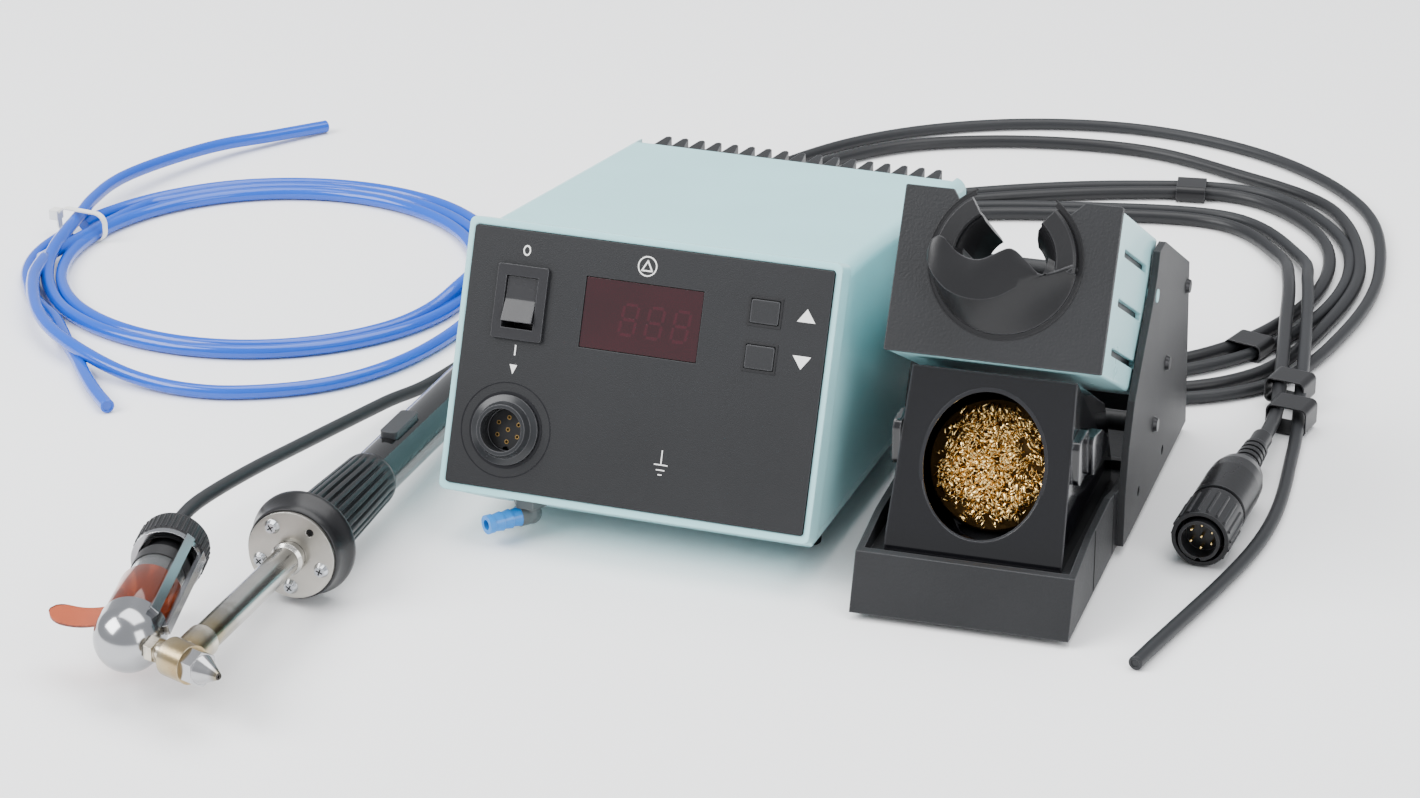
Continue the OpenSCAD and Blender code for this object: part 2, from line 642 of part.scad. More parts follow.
module hand_guard() {
    color("#202123") on_iron() difference() {
        translate([0, 1.6, 0]) turned_y([[barrel_d / 2 + 1, 0], [20, 0], [guard_d / 2 - 2, 8], [guard_d / 2, 11],
            [guard_d / 2, 13], [guard_d / 2 - 2.5, 14.5], [15, 14.5], [barrel_d / 2 + 1, 14.5]]);
        for (k = [0, 1, 2, 3]) rotate([0, 72 * k + 20, 0]) translate([14.2, 0, 0]) along_y(9.3, 1.71);
    }
}
module ribbed_grip() {
    color("#2a2b2d") on_iron() difference() {
        translate([0, 16.1, 0]) turned_y([[handle_d / 2 - 3, 0], [15, 0], [14.4, 20], [handle_d / 2 + 1.6, grip_l - 18],
            [handle_d / 2 + 1.2, grip_l - 16], [handle_d / 2 - 3, grip_l - 16]]);
        for (k = [0:17]) rotate([0, 20 * k, 0]) translate([16.2, 20, 0]) rotate([0, 0, 2])
            along_y(grip_l - 24, 1.6);
    }
}
handle_from = 16.1 + grip_l - 16;
module handle() {
    color("#1d1e20") on_iron() difference() {
        union() {
            translate([0, handle_from, 0]) turned_y([[0, 0], [handle_d / 2, 0], [handle_d / 2, handle_l - 10],
                [handle_d / 2 - 2, handle_l - 5], [cable_d / 2 + 2.4, handle_l - 2],
                [cable_d / 2 + 1.4, handle_l + 12], [0, handle_l + 12]]);
            translate([0, 40, 0]) along_y(handle_from - 39, handle_d / 2 - 3.2);
        }
        translate([0, handle_from + handle_l - 6, 0]) along_y(30, cable_d / 2 + 0.4);
        translate([0, handle_from + 34, handle_d / 2]) linear_extrude(8, center = true)
            rounded(8.8, 26.8, 2);
    }
}
module finger_switch() {
    color("#3a3c3f") on_iron() translate([0, handle_from + 34, handle_d / 2 - 2]) {
        plate(8, 26, 4.6, 1.8);
    }
}
module collector_dome() {
    color("#c9ccd1") on_collector() difference() {
        union() {
            intersection() {
                sphere(r = dome_r, $fn = 64);
                translate([0, -dome_r, 0]) along_y(dome_r, dome_r + 1);
            }
            along_y(8, dome_r);
        }
        translate([0, 2, 0]) along_y(9, glass_d / 2 + 0.3);
        translate([0, -9, 0]) along_y(14, glass_d / 2 - 3);
        rotate([-collector_rise, 0, 0]) rotate([0, 0, -nozzle_turn - collector_turn])
            along_x(dome_reach, 4.02);
    }
}
module collector_glass() {
    color("#dfe9ec80") on_collector() translate([0, 2.2, 0]) difference() {
        along_y(glass_l, glass_d / 2);
        translate([0, -1, 0]) along_y(glass_l + 2, glass_d / 2 - 1.6);
    }
}
sleeve_l = 28;
module heat_sleeve() {
    color("#a8452acc") on_collector() difference() {
        union() {
            translate([0, 8.2, 0]) along_y(sleeve_l, glass_d / 2 + 2);
            translate([-glass_d / 2 - 1, 8.2, 0]) rotate([-90, 0, 0]) linear_extrude(15) union() {
                translate([-24, -1.6]) square([24, 3.2]);
                translate([-24, 0]) circle(3.2);
            }
        }
        translate([0, 7, 0]) along_y(sleeve_l + 3, glass_d / 2 + 0.05);
    }
}
ring_at = glass_l + 8;
module collector_bridge() {
    color("#cfd3d8") on_collector() {
        difference() {
            translate([0, ring_at, 0]) along_y(3, dome_r + 0.6);
            translate([0, ring_at - 1, 0]) along_y(5, glass_d / 2 + 0.4);
        }
        for (a = [12, 48]) rotate([0, -a, 0]) translate([dome_r + 0.1, 2, -2]) linear_extrude(4)
            square([2.2, ring_at]);
    }
}
module collector_cap() {
    color("#232426") on_collector() translate([0, ring_at + 3, 0]) {
        difference() {
            union() {
                along_y(13, 14.6);
                for (k = [0:39]) rotate([0, 9 * k, 0]) translate([14.6, 1.5, 0]) along_y(10, 0.55);
            }
            translate([0, -1, 0]) along_y(4, glass_d / 2 + 0.4);
        }
        translate([0, -9, 0]) along_y(12, glass_d / 2 - 1.8);
        translate([0, 13, 0]) along_y(6, vacuum_d / 2 + 1.4);
    }
}

// ---- Cords: routes over the table, from the iron outwards ----
cap_end = [-159.6, -97, 33.2];
gland_end = [-117.6, 147, 17.6];
vacuum_route = [cap_end, [-160, -76, 34], [-158, -35, 30], [-155, 20, 22], [-150, 90, 12],
    [-142, 155, 4.5], [-122, 330, 3.2], [-104, 425, 3.2], [-64, 512, 3.2], [0, 566, 3.2],
    [80, 586, 3.2], [158, 564, 3.2], [216, 506, 3.2], [240, 425, 3.2], [240, 345, 3.2],
    [220, 268, 3.2], [162, 231, 3.2], [85, 249, 3.2], [5, 275, 3.2], [-50, 322, 3.2],
    [-46, 405, 3.2], [12, 457, 3.2], [90, 498, 3.2], [162, 511, 3.2], [214, 460, 3.2],
    [227, 385, 3.2], [205, 303, 3.2], [150, 256, 3.2], [72, 273, 3.2], [0, 306, 3.2],
    [-27, 368, 3.2], [5, 430, 3.2], [78, 460, 3.2], [155, 472, 3.2], [199, 428, 4.2],
    [213, 380, 10.4], [224, 325, 10.6], [234, 270, 10], [246, 195, 3.2], [252, 100, 3.2],
    [230, -26, 3.2]];
cable_route = [gland_end, [-118.5, 178, 14], [-119, 225, 6], [-112, 325, 3.6], [-94, 418, 3.6],
    [-50, 502, 3.6], [8, 540, 3.6], [82, 553, 3.6], [140, 535, 3.6], [200, 500, 3.6],
    [230, 425, 3.6], [230, 350, 3.6], [211, 276, 3.6], [160, 241, 3.6], [86, 259, 3.6],
    [8, 285, 3.6], [-40, 328, 3.6], [-36, 400, 3.6], [17, 447, 3.6], [94, 488, 3.6],
    [157, 500, 3.6], [205, 455, 3.6], [217, 385, 3.6], [195, 309, 3.6], [148, 266, 3.6],
    [75, 283, 3.6], [7, 314, 3.6], [-17, 368, 3.6], [13, 422, 3.6], [82, 450, 3.6],
    [150, 461, 3.6], [189, 424, 4.8], [204, 378, 10.6], [215, 320, 10.9], [225, 265, 10.4],
    [232, 222, 9], [234, 186, 11.5]];
module iron_cable() { color("#26272a") on_table() tube(cable_route, cable_d); }
module vacuum_hose() { color("#2e3034") on_table() tube(vacuum_route, vacuum_d); }

// Clips that hold the cable and the hose side by side
clip_list = [[126, 502, 4.2, 10, 8.4], [201, 307, 4.2, -105, 8.4], [231.5, 255, 8.8, -100, 12],
    [238, 228, 7, -98, 13.4]];
module hose_clips() {
    color("#1c1d1f") on_table() for (c = clip_list) translate([c[0], c[1], c[2]])
        rotate([0, 0, c[3]]) rotate([0, 90, 0]) linear_extrude(15, center = true) difference() {
            rounded(c[4], 19.4, 3);
            rounded(c[4] - 1.4, 18, 2.4);
        }
}

// Seven-pin plug, lying on the table: y runs back from its face
plug_from = [232, 72, 13.2];
plug_to = [234, 186, 11.5];
module on_plug() {
    on_table() translate(plug_from)
        rotate([0, 0, atan2(plug_from[0] - plug_to[0], plug_to[1] - plug_from[1])]) children();
}
module plug_body() {
    color("#232427") on_plug() {
        difference() {
            along_y(16, 9);
            translate([0, -1, 0]) along_y(9, 7.6);
            translate([0, -1, -9]) along_y(9, 1.2);
        }
        for (k = [0:5]) rotate([0, 60 * k + 30, 0]) translate([5.2, 4.4, 0]) along_y(5, 0.6);
        translate([0, 4.4, 0]) along_y(5, 0.6);
        translate([0, 14, 0]) turned_y([[0, 0], [9.4, 0], [9.4, 16], [12.4, 17], [12.4, 42], [12, 50],
            [10.6, 56], [6.4, 62], [0, 62]]);
        translate([0, 75, 0]) difference() {
            union() {
                along_y(37, 4.7);
                for (i = [0:4]) translate([0, 2 + 5 * i, 0]) along_y(2.6, 6.6 - 0.25 * i);
            }
            translate([0, 5, 0]) along_y(40, cable_d / 2 + 0.3);
        }
    }
}
module plug_ring() {
    color("#2b2c30") on_plug() difference() {
        union() {
            translate([0, 2, 0]) along_y(26, 12.4);
            for (k = [0:17]) rotate([0, 20 * k, 0]) translate([12.3, 4, 0]) along_y(20, 0.8);
        }
        translate([0, -1, 0]) along_y(16, 10.6);
        translate([0, 0, 0]) along_y(40, 9.7);
    }
}

// Compressed air hose: two turns wound flat, and one loose turn that bows out at the front.
// Both bare ends leave the coil under the tie.
coil_in = 99;
coil_out = coil_in + 2 * air_d + 0.6;
loose_route = [[-387, 205, 9], [-376, 175, 10], [-351, 136, 10], [-322, 111, 9], [-281, 94, 5],
    [-245, 92, 3.4], [-214, 103, 3.4], [-188, 124, 3.4], [-170, 156, 3.4], [-161, 198, 3.4],
    [-162, 244, 3.4], [-175, 293, 3.4], [-199, 326, 3.4], [-232, 350, 3.4], [-271, 360, 3.4],
    [-311, 356, 3.4], [-348, 339, 3.4], [-376, 311, 3.4], [-396, 262, 3.4], [-397, 224, 3.4],
    [-388, 194, 3.4], [-371, 169, 3.4], [-348, 148, 3.4], [-311, 102, 3.4], [-276, 62, 3.4]];
tail_route = [[-388, 225, 9], [-394, 254, 9.5], [-398, 275, 10.2], [-400, 308, 10.4], [-393, 342, 9.5],
    [-378, 382, 7.5], [-360, 412, 5], [-341, 440, 3.4]];
module air_hose_coil() {
    color("#2f86dc") on_table() translate(coil_at) rotate_extrude()
        translate([coil_in, 0.1]) square([coil_out - coil_in, 2 * air_d]);
}
module air_hose_tail() {
    color("#2f86dc") on_table() {
        tube(loose_route, air_d);
        tube(tail_route, air_d);
    }
}
module hose_tie() {
    color("#e9e9e4") on_table() translate(tie_at) rotate([0, 0, -5]) {
        rotate([-90, 0, 0]) linear_extrude(3.4) difference() {
            rounded(tie_w, tie_h, 6);
            rounded(tie_w - 1.6, tie_h - 1.6, 5.2);
        }
        translate([-tie_w / 2 - 4, -1, tie_h / 2 - 7]) cube([5, 5.4, 5]);
    }
}
tie_at = [-390.5, 252, 7.8];
tie_w = 28;
tie_h = 15.4;

upper_housing();
lower_housing();
front_frame();
front_panel();
display_window();
display_module();
rocker_frame();
power_rocker();
button_up();
button_down();
socket_shell();
socket_insert();
front_board();
main_board();
transformer_core();
transformer_coil();
vacuum_ejector();
solenoid_valve();
vacuum_elbow();
vacuum_nipple();
heat_sink();
rear_panel();
mains_inlet();
air_inlet();
earth_jack();
case_screws();
unit_feet();
stand_base();
side_arm_left();
side_arm_right();
cross_bars();
arm_screws();
stand_feet();
head_block();
head_plate();
tool_rest();
cleaning_box();
brass_wool();
nozzle();
heater_head();
heater_tube();
guard_plate();
guard_screws();
hand_guard();
ribbed_grip();
handle();
finger_switch();
collector_dome();
collector_glass();
heat_sleeve();
collector_bridge();
collector_cap();
iron_cable();
vacuum_hose();
hose_clips();
plug_body();
plug_ring();
air_hose_coil();
air_hose_tail();
hose_tie();
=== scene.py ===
import math
import random

import bmesh
import bpy
from mathutils import Matrix, Vector


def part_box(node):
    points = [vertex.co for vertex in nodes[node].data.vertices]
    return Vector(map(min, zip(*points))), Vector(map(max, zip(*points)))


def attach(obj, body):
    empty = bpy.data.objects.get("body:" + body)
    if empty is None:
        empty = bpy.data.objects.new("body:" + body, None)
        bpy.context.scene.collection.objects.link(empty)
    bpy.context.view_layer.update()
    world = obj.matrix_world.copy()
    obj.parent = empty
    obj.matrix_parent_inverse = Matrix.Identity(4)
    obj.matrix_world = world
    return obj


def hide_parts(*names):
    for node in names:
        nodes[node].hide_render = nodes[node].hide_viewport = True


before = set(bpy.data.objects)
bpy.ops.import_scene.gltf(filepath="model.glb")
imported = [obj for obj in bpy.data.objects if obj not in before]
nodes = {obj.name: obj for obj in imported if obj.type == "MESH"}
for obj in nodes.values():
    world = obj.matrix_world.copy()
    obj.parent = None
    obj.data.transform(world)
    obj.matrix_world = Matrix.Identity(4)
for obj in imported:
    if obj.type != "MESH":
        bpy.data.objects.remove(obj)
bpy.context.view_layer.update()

# The bench, the light and the camera. A wide pale bench top, lit by one large soft light over the
# left shoulder, a weaker one at the right and one from above.
MM = 0.001
scene = bpy.context.scene


def corner_mid(node):
    low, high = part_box(node)
    return (Vector(low) + Vector(high)) / 2 / MM


def flat_colour(material, colour, roughness):
    shader = material.node_tree.nodes["Principled BSDF"]
    shader.inputs["Base Color"].default_value = (*colour, 1)
    shader.inputs["Roughness"].default_value = roughness


def bench_top():
    reach, count = 7.0, 96
    mesh = bpy.data.meshes.new("bench_top")
    rim = [(reach * math.cos(2 * math.pi * k / count), reach * math.sin(2 * math.pi * k / count),
        -0.0002) for k in range(count)]
    mesh.from_pydata(rim, [], [range(count)])
    material = bpy.data.materials.new("pale bench")
    material.use_nodes = True
    flat_colour(material, (0.94, 0.942, 0.945), 0.75)
    mesh.materials.append(material)
    bench = bpy.data.objects.new("bench_top", mesh)
    scene.collection.objects.link(bench)


def soft_light(name, place, target, size, power):
    data = bpy.data.lights.new(name, "AREA")
    data.shape = "RECTANGLE"
    data.size, data.size_y = size
    data.energy = power
    light = bpy.data.objects.new(name, data)
    light.location = place
    light.rotation_euler = (Vector(target) - Vector(place)).to_track_quat("-Z", "Y").to_euler()
    scene.collection.objects.link(light)


bench_top()
soft_light("over_left", (-1.5, -1.1, 1.7), (0, 0.1, 0), (1.8, 1.4), 92)
soft_light("low_right", (1.9, -0.9, 0.9), (0, 0.1, 0.05), (1.2, 1.4), 26)
soft_light("overhead", (0.1, 0.5, 2.1), (0, 0.1, 0), (2.4, 1.8), 66)
world = bpy.data.worlds.new("pale room")
world.use_nodes = True
world.node_tree.nodes["Background"].inputs["Color"].default_value = (0.94, 0.96, 1, 1)
world.node_tree.nodes["Background"].inputs["Strength"].default_value = 0.8
scene.world = world

bench = corner_mid("air_hose_coil") - Vector((-281, 244, 0))
bench.z = 0
view_turn, view_lift, view_far = math.radians(19.8), math.radians(23.7), 1724.2
view_at = bench + Vector((17, 63.3, 50))
view_from = view_at + view_far * Vector((math.sin(view_turn) * math.cos(view_lift),
    -math.cos(view_turn) * math.cos(view_lift), math.sin(view_lift)))
camera_data = bpy.data.cameras.new("camera")
camera_data.sensor_width = 36
camera_data.lens = 101.4
camera = bpy.data.objects.new("camera", camera_data)
camera.location = view_from * MM
camera.rotation_euler = (view_at - view_from).to_track_quat("-Z", "Y").to_euler()
scene.collection.objects.link(camera)
scene.camera = camera


# The iron's cable and its vacuum hose. Both are flexible black rubber, laid side by side in two
# loops behind the unit. Clips hold them together, and the hose ends bare beside the plug.


def socket(group, name, side, kind, value=None):
    made = group.interface.new_socket(name=name, in_out=side, socket_type=kind)
    if value is not None:
        made.default_value = value


def skin_group():
    """Fine grain, a slight mottle, softened edges and the paler rub that edges get with use."""
    group = bpy.data.node_groups.new("moulded skin", "ShaderNodeTree")
    socket(group, "Colour", "INPUT", "NodeSocketColor", (0.5, 0.5, 0.5, 1))
    socket(group, "Mottle", "INPUT", "NodeSocketFloat", 0.1)
    socket(group, "Grain Size", "INPUT", "NodeSocketFloat", 900)
    socket(group, "Grain Depth", "INPUT", "NodeSocketFloat", 0.1)
    socket(group, "Roughness", "INPUT", "NodeSocketFloat", 0.5)
    socket(group, "Spread", "INPUT", "NodeSocketFloat", 0.1)
    socket(group, "Edge Radius", "INPUT", "NodeSocketFloat", 0.0005)
    socket(group, "Edge Colour", "INPUT", "NodeSocketColor", (0.5, 0.5, 0.5, 1))
    socket(group, "Edge Wear", "INPUT", "NodeSocketFloat", 0.3)
    socket(group, "Colour", "OUTPUT", "NodeSocketColor")
    socket(group, "Roughness", "OUTPUT", "NodeSocketFloat")
    socket(group, "Normal", "OUTPUT", "NodeSocketVector")
    tree, link = group.nodes, group.links.new
    taken = tree.new("NodeGroupInput")
    given = tree.new("NodeGroupOutput")
    place = tree.new("ShaderNodeTexCoord")
    grain = tree.new("ShaderNodeTexNoise")
    grain.inputs["Detail"].default_value = 3
    cloud = tree.new("ShaderNodeTexNoise")
    cloud.inputs["Scale"].default_value = 26
    cloud.inputs["Detail"].default_value = 4
    link(place.outputs["Object"], grain.inputs["Vector"])
    link(place.outputs["Object"], cloud.inputs["Vector"])
    link(taken.outputs["Grain Size"], grain.inputs["Scale"])
    shade = tree.new("ShaderNodeMapRange")
    shade.inputs["From Min"].default_value = 0.3
    shade.inputs["From Max"].default_value = 0.7
    shade.inputs["To Min"].default_value = 0.5
    shade.inputs["To Max"].default_value = 1.5
    link(cloud.outputs["Fac"], shade.inputs["Value"])
    tone = tree.new("ShaderNodeMix")
    tone.data_type = "RGBA"
    tone.blend_type = "MULTIPLY"
    link(taken.outputs["Mottle"], tone.inputs[0])
    link(taken.outputs["Colour"], tone.inputs[6])
    link(shade.outputs["Result"], tone.inputs[7])
    rounded = tree.new("ShaderNodeBevel")
    rounded.samples = 4
    link(taken.outputs["Edge Radius"], rounded.inputs["Radius"])
    true_face = tree.new("ShaderNodeNewGeometry")
    facing = tree.new("ShaderNodeVectorMath")
    facing.operation = "DOT_PRODUCT"
    link(rounded.outputs["Normal"], facing.inputs[0])
    link(true_face.outputs["Normal"], facing.inputs[1])
    edge = tree.new("ShaderNodeMapRange")
    edge.inputs["From Min"].default_value = 0.99
    edge.inputs["From Max"].default_value = 0.86
    link(facing.outputs["Value"], edge.inputs["Value"])
    rubbed = tree.new("ShaderNodeMath")
    rubbed.operation = "MULTIPLY"
    link(edge.outputs["Result"], rubbed.inputs[0])
    link(taken.outputs["Edge Wear"], rubbed.inputs[1])
    worn = tree.new("ShaderNodeMix")
    worn.data_type = "RGBA"
    link(rubbed.outputs[0], worn.inputs[0])
    link(tone.outputs[2], worn.inputs[6])
    link(taken.outputs["Edge Colour"], worn.inputs[7])
    link(worn.outputs[2], given.inputs["Colour"])
    wander = tree.new("ShaderNodeMath")
    wander.operation = "SUBTRACT"
    wander.inputs[1].default_value = 0.5
    link(cloud.outputs["Fac"], wander.inputs[0])
    rough = tree.new("ShaderNodeMath")
    rough.operation = "MULTIPLY_ADD"
    link(wander.outputs[0], rough.inputs[0])
    link(taken.outputs["Spread"], rough.inputs[1])
    link(taken.outputs["Roughness"], rough.inputs[2])
    link(rough.outputs[0], given.inputs["Roughness"])
    bump = tree.new("ShaderNodeBump")
    bump.inputs["Distance"].default_value = 0.0003
    link(taken.outputs["Grain Depth"], bump.inputs["Strength"])
    link(grain.outputs["Fac"], bump.inputs["Height"])
    link(rounded.outputs["Normal"], bump.inputs["Normal"])
    link(bump.outputs["Normal"], given.inputs["Normal"])
    return group


moulded_skin = skin_group()


def skinned(name, colour, rough, mottle=0.12, grain=900, depth=0.08, spread=0.12, metallic=0,
        coat=0, edge=0.5, wear=0.3, rub=None, gloss=0.3):
    """A material on the moulded skin. Lengths in it are in millimetres."""
    material = bpy.data.materials.new(name)
    material.use_nodes = True
    tree, link = material.node_tree.nodes, material.node_tree.links.new
    shader = tree["Principled BSDF"]
    skin = tree.new("ShaderNodeGroup")
    skin.node_tree = moulded_skin
    skin.inputs["Colour"].default_value = (*colour, 1)
    skin.inputs["Mottle"].default_value = mottle
    skin.inputs["Grain Size"].default_value = grain
    skin.inputs["Grain Depth"].default_value = depth
    skin.inputs["Roughness"].default_value = rough
    skin.inputs["Spread"].default_value = spread
    skin.inputs["Edge Radius"].default_value = edge * MM
    skin.inputs["Edge Wear"].default_value = wear
    skin.inputs["Edge Colour"].default_value = (*(rub or [min(1, 1.8 * c + 0.02) for c in colour]), 1)
    link(skin.outputs["Colour"], shader.inputs["Base Color"])
    link(skin.outputs["Roughness"], shader.inputs["Roughness"])
    link(skin.outputs["Normal"], shader.inputs["Normal"])
    shader.inputs["Metallic"].default_value = metallic
    shader.inputs["Specular IOR Level"].default_value = gloss
    shader.inputs["Coat Weight"].default_value = coat
    shader.inputs["Coat Roughness"].default_value = 0.06
    return material


def add_piece(name, data, body, material, replaced=()):
    data.materials.clear()
    data.materials.append(material)
    piece = bpy.data.objects.new(name, data)
    scene.collection.objects.link(piece)
    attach(piece, body)
    if replaced:
        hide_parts(*replaced)
    return piece


def curve_through(points, step=6.0):
    """Points of a smooth curve through a given route, about one step apart."""
    ends = [2 * points[0] - points[1]] + points + [2 * points[-1] - points[-2]]
    line = []
    for a, b, c, d in zip(ends, ends[1:], ends[2:], ends[3:]):
        count = max(2, round((c - b).length / step))
        for k in range(count):
            t = k / count
            line.append(0.5 * (2 * b + (c - a) * t + (2 * a - 5 * b + 4 * c - d) * t * t
                + (3 * b - a - 3 * c + d) * t ** 3))
    line.append(points[-1].copy())
    return line


def laid_cord(name, line, diameter, body, material, replaced):
    data = bpy.data.curves.new(name, "CURVE")
    data.dimensions = "3D"
    data.bevel_depth = diameter / 2 * MM
    data.bevel_resolution = 5
    data.use_fill_caps = True
    spline = data.splines.new("POLY")
    spline.points.add(len(line) - 1)
    for point, place in zip(spline.points, line):
        point.co = (*(place * MM), 1)
    spline.use_smooth = True
    return add_piece(name, data, body, material, replaced)


def on_bench(route):
    return [bench + Vector(p) for p in route]


def tube_end(name, tip, along, outer, inner, body, material):
    """The cut end of a hose: its wall, and the dark bore inside it."""
    turn = along.to_track_quat("Z", "Y").to_matrix().to_4x4()
    seat = Matrix.Translation(tip) @ turn
    return lathe(name, [(inner, -9), (inner, 0.25), (inner + 0.25, 0.5), (outer - 0.35, 0.5),
        (outer, 0.1), (outer, -0.5)], seat, body, material, segments=32, closed=False)


def lathe(name, profile, seat, body, material, replaced=(), segments=64, closed=True,
        crease=28):
    """A turned piece: a profile of (radius, height) spun about the seat's own Z axis."""
    work = bmesh.new()
    rings = []
    for r, z in profile:
        if r < 1e-6:
            rings.append([work.verts.new((0, 0, z))])
        else:
            rings.append([work.verts.new((r * math.cos(2 * math.pi * k / segments),
                r * math.sin(2 * math.pi * k / segments), z)) for k in range(segments)])
    pairs = list(zip(rings, rings[1:]))
    if closed and len(rings[0]) > 1 and len(rings[-1]) > 1:
        pairs.append((rings[-1], rings[0]))
    for low, high in pairs:
        for k in range(segments):
            n = (k + 1) % segments
            if len(low) == 1:
                work.faces.new((low[0], high[n], high[k]))
            elif len(high) == 1:
                work.faces.new((low[k], low[n], high[0]))
            else:
                work.faces.new((low[k], low[n], high[n], high[k]))
    bmesh.ops.recalc_face_normals(work, faces=work.faces)
    work.transform(seat)
    return finished(name, work, body, material, replaced, crease)


def finished(name, work, body, material, replaced=(), crease=28):
    """A piece from mesh that was worked in millimetres."""
    work.transform(Matrix.Scale(MM, 4))
    mesh = bpy.data.meshes.new(name)
    work.to_mesh(mesh)
    work.free()
    mesh.shade_smooth()
    mesh.set_sharp_from_angle(angle=math.radians(crease))
    return add_piece(name, mesh, body, material, replaced)


cable_d = 6.6
vacuum_d = 6.0
cable_route = on_bench([(-117.6, 147, 17.6), (-118.5, 178, 14), (-119, 225, 6), (-112, 325, 3.6),
    (-94, 418, 3.6), (-50, 502, 3.6), (8, 540, 3.6), (82, 553, 3.6), (140, 535, 3.6),
    (200, 500, 3.6), (230, 425, 3.6), (230, 350, 3.6), (211, 276, 3.6), (160, 241, 3.6),
    (86, 259, 3.6), (8, 285, 3.6), (-40, 328, 3.6), (-36, 400, 3.6), (17, 447, 3.6),
    (94, 488, 3.6), (157, 500, 3.6), (205, 455, 3.6), (217, 385, 3.6), (195, 309, 3.6),
    (148, 266, 3.6), (75, 283, 3.6), (7, 314, 3.6), (-17, 368, 3.6), (13, 422, 3.6),
    (82, 450, 3.6), (150, 461, 3.6), (189, 424, 4.8), (204, 378, 10.6), (215, 320, 10.9),
    (225, 265, 10.4), (232, 222, 9), (234, 186, 11.5)])
vacuum_route = on_bench([(-159.6, -97, 33.2), (-160, -76, 34), (-158, -35, 30), (-155, 20, 22),
    (-150, 90, 12), (-142, 155, 4.5), (-122, 330, 3.2), (-104, 425, 3.2), (-64, 512, 3.2),
    (0, 566, 3.2), (80, 586, 3.2), (158, 564, 3.2), (216, 506, 3.2), (240, 425, 3.2),
    (240, 345, 3.2), (220, 268, 3.2), (162, 231, 3.2), (85, 249, 3.2), (5, 275, 3.2),
    (-50, 322, 3.2), (-46, 405, 3.2), (12, 457, 3.2), (90, 498, 3.2), (162, 511, 3.2),
    (214, 460, 3.2), (227, 385, 3.2), (205, 303, 3.2), (150, 256, 3.2), (72, 273, 3.2),
    (0, 306, 3.2), (-27, 368, 3.2), (5, 430, 3.2), (78, 460, 3.2), (155, 472, 3.2),
    (199, 428, 4.2), (213, 380, 10.4), (224, 325, 10.6), (234, 270, 10), (246, 195, 3.2),
    (252, 100, 3.2), (230, -26, 3.2)])
cable_rubber = skinned("cable rubber", (0.012, 0.0125, 0.014), 0.4, grain=500, depth=0.05)
hose_rubber = skinned("vacuum hose rubber", (0.016, 0.017, 0.019), 0.46, grain=420, depth=0.06)
cable_line = curve_through(cable_route)
vacuum_line = curve_through(vacuum_route)
iron_cable = laid_cord("iron_cable_laid", cable_line, cable_d, "desoldering_iron", cable_rubber,
    ["iron_cable"])
vacuum_hose = laid_cord("vacuum_hose_laid", vacuum_line, vacuum_d, "desoldering_iron", hose_rubber,
    ["vacuum_hose"])
bare_tip = tube_end("vacuum_hose_tip", vacuum_line[-1], vacuum_line[-1] - vacuum_line[-2],
    vacuum_d / 2, 1.7, "desoldering_iron", hose_rubber)


# The compressed air hose: blue polyurethane tube, cut square at both ends, wound in three loose
# turns and held by one white tie. The turns change places where they cross, at the right.
air_d = 6.6
coil_mid = corner_mid("air_hose_coil")


def wound(start, stop, step=4.0):
    """The two inner turns, by angle: where each lies, and how it climbs over the others."""
    line = []
    for k in range(int((stop - start) / step) + 1):
        a = start + k * step
        turn = (a - 175) / 360
        swap = min(1, max(0, (a - 335) / 60)) if a < 535 else 1 - min(1, max(0, (a - 695) / 60))
        swap = swap * swap * (3 - 2 * swap)
        r = 109.4 - 6.9 * swap
        hump = math.exp(-((a - 725) / 17) ** 2) * 6.9
        drop = max(0, 1 - abs(a - 190) / 36) * 5.6 if turn < 0.5 else 0
        line.append(Vector((coil_mid.x + r * math.cos(math.radians(a)),
            coil_mid.y + r * math.sin(math.radians(a)), 3.4 + hump + drop)))
    return line


air_blue = skinned("air hose blue", (0.001, 0.075, 0.5), 0.2, mottle=0.08, grain=260, depth=0.02,
    coat=0.5)
tail_route = on_bench([(-341, 440, 3.4), (-360, 412, 5), (-378, 382, 7.5), (-393, 342, 9.5),
    (-400, 308, 10.4), (-398, 275, 10.2), (-393.5, 254, 9.6)])
bow_route = on_bench([(-389, 219, 5.4), (-384, 200, 9), (-374, 172, 10.2), (-351, 136, 10),
    (-322, 111, 9), (-281, 94, 5), (-245, 92, 3.4), (-214, 103, 3.4), (-188, 124, 3.4),
    (-170, 156, 3.4), (-161, 198, 3.4), (-162, 244, 3.4), (-175, 293, 3.4), (-199, 326, 3.4),
    (-232, 350, 3.4), (-271, 360, 3.4), (-311, 356, 3.4), (-348, 339, 3.4), (-376, 311, 3.4),
    (-392, 280, 3.4), (-396.5, 256, 3.4)])
tail_line = curve_through(tail_route, 4)
turns_line = wound(190, 880)
bow_line = curve_through(bow_route, 4)
lower_route = on_bench([(-397, 250, 3.4), (-398, 238, 3.4), (-398, 226, 3.4), (-396.5, 214, 3.4),
    (-393, 202, 3.4), (-388, 191, 3.4), (-381, 180, 3.4), (-373, 169, 3.4), (-362, 158, 3.4),
    (-350, 148, 3.4), (-338, 134, 3.4), (-327, 120, 3.4), (-315, 106, 3.4), (-303, 91, 3.4),
    (-290, 76, 3.4), (-276, 62, 3.4)])
air_line = curve_through((tail_line + turns_line + bow_line)[::3], 4)[::-1]
lower_line = curve_through(lower_route, 4)
air_hose = laid_cord("air_hose_wound", air_line, air_d, "air_hose", air_blue,
    ["air_hose_coil", "air_hose_tail"])
air_hose_end = laid_cord("air_hose_lower_end", lower_line, air_d, "air_hose", air_blue,
    [])
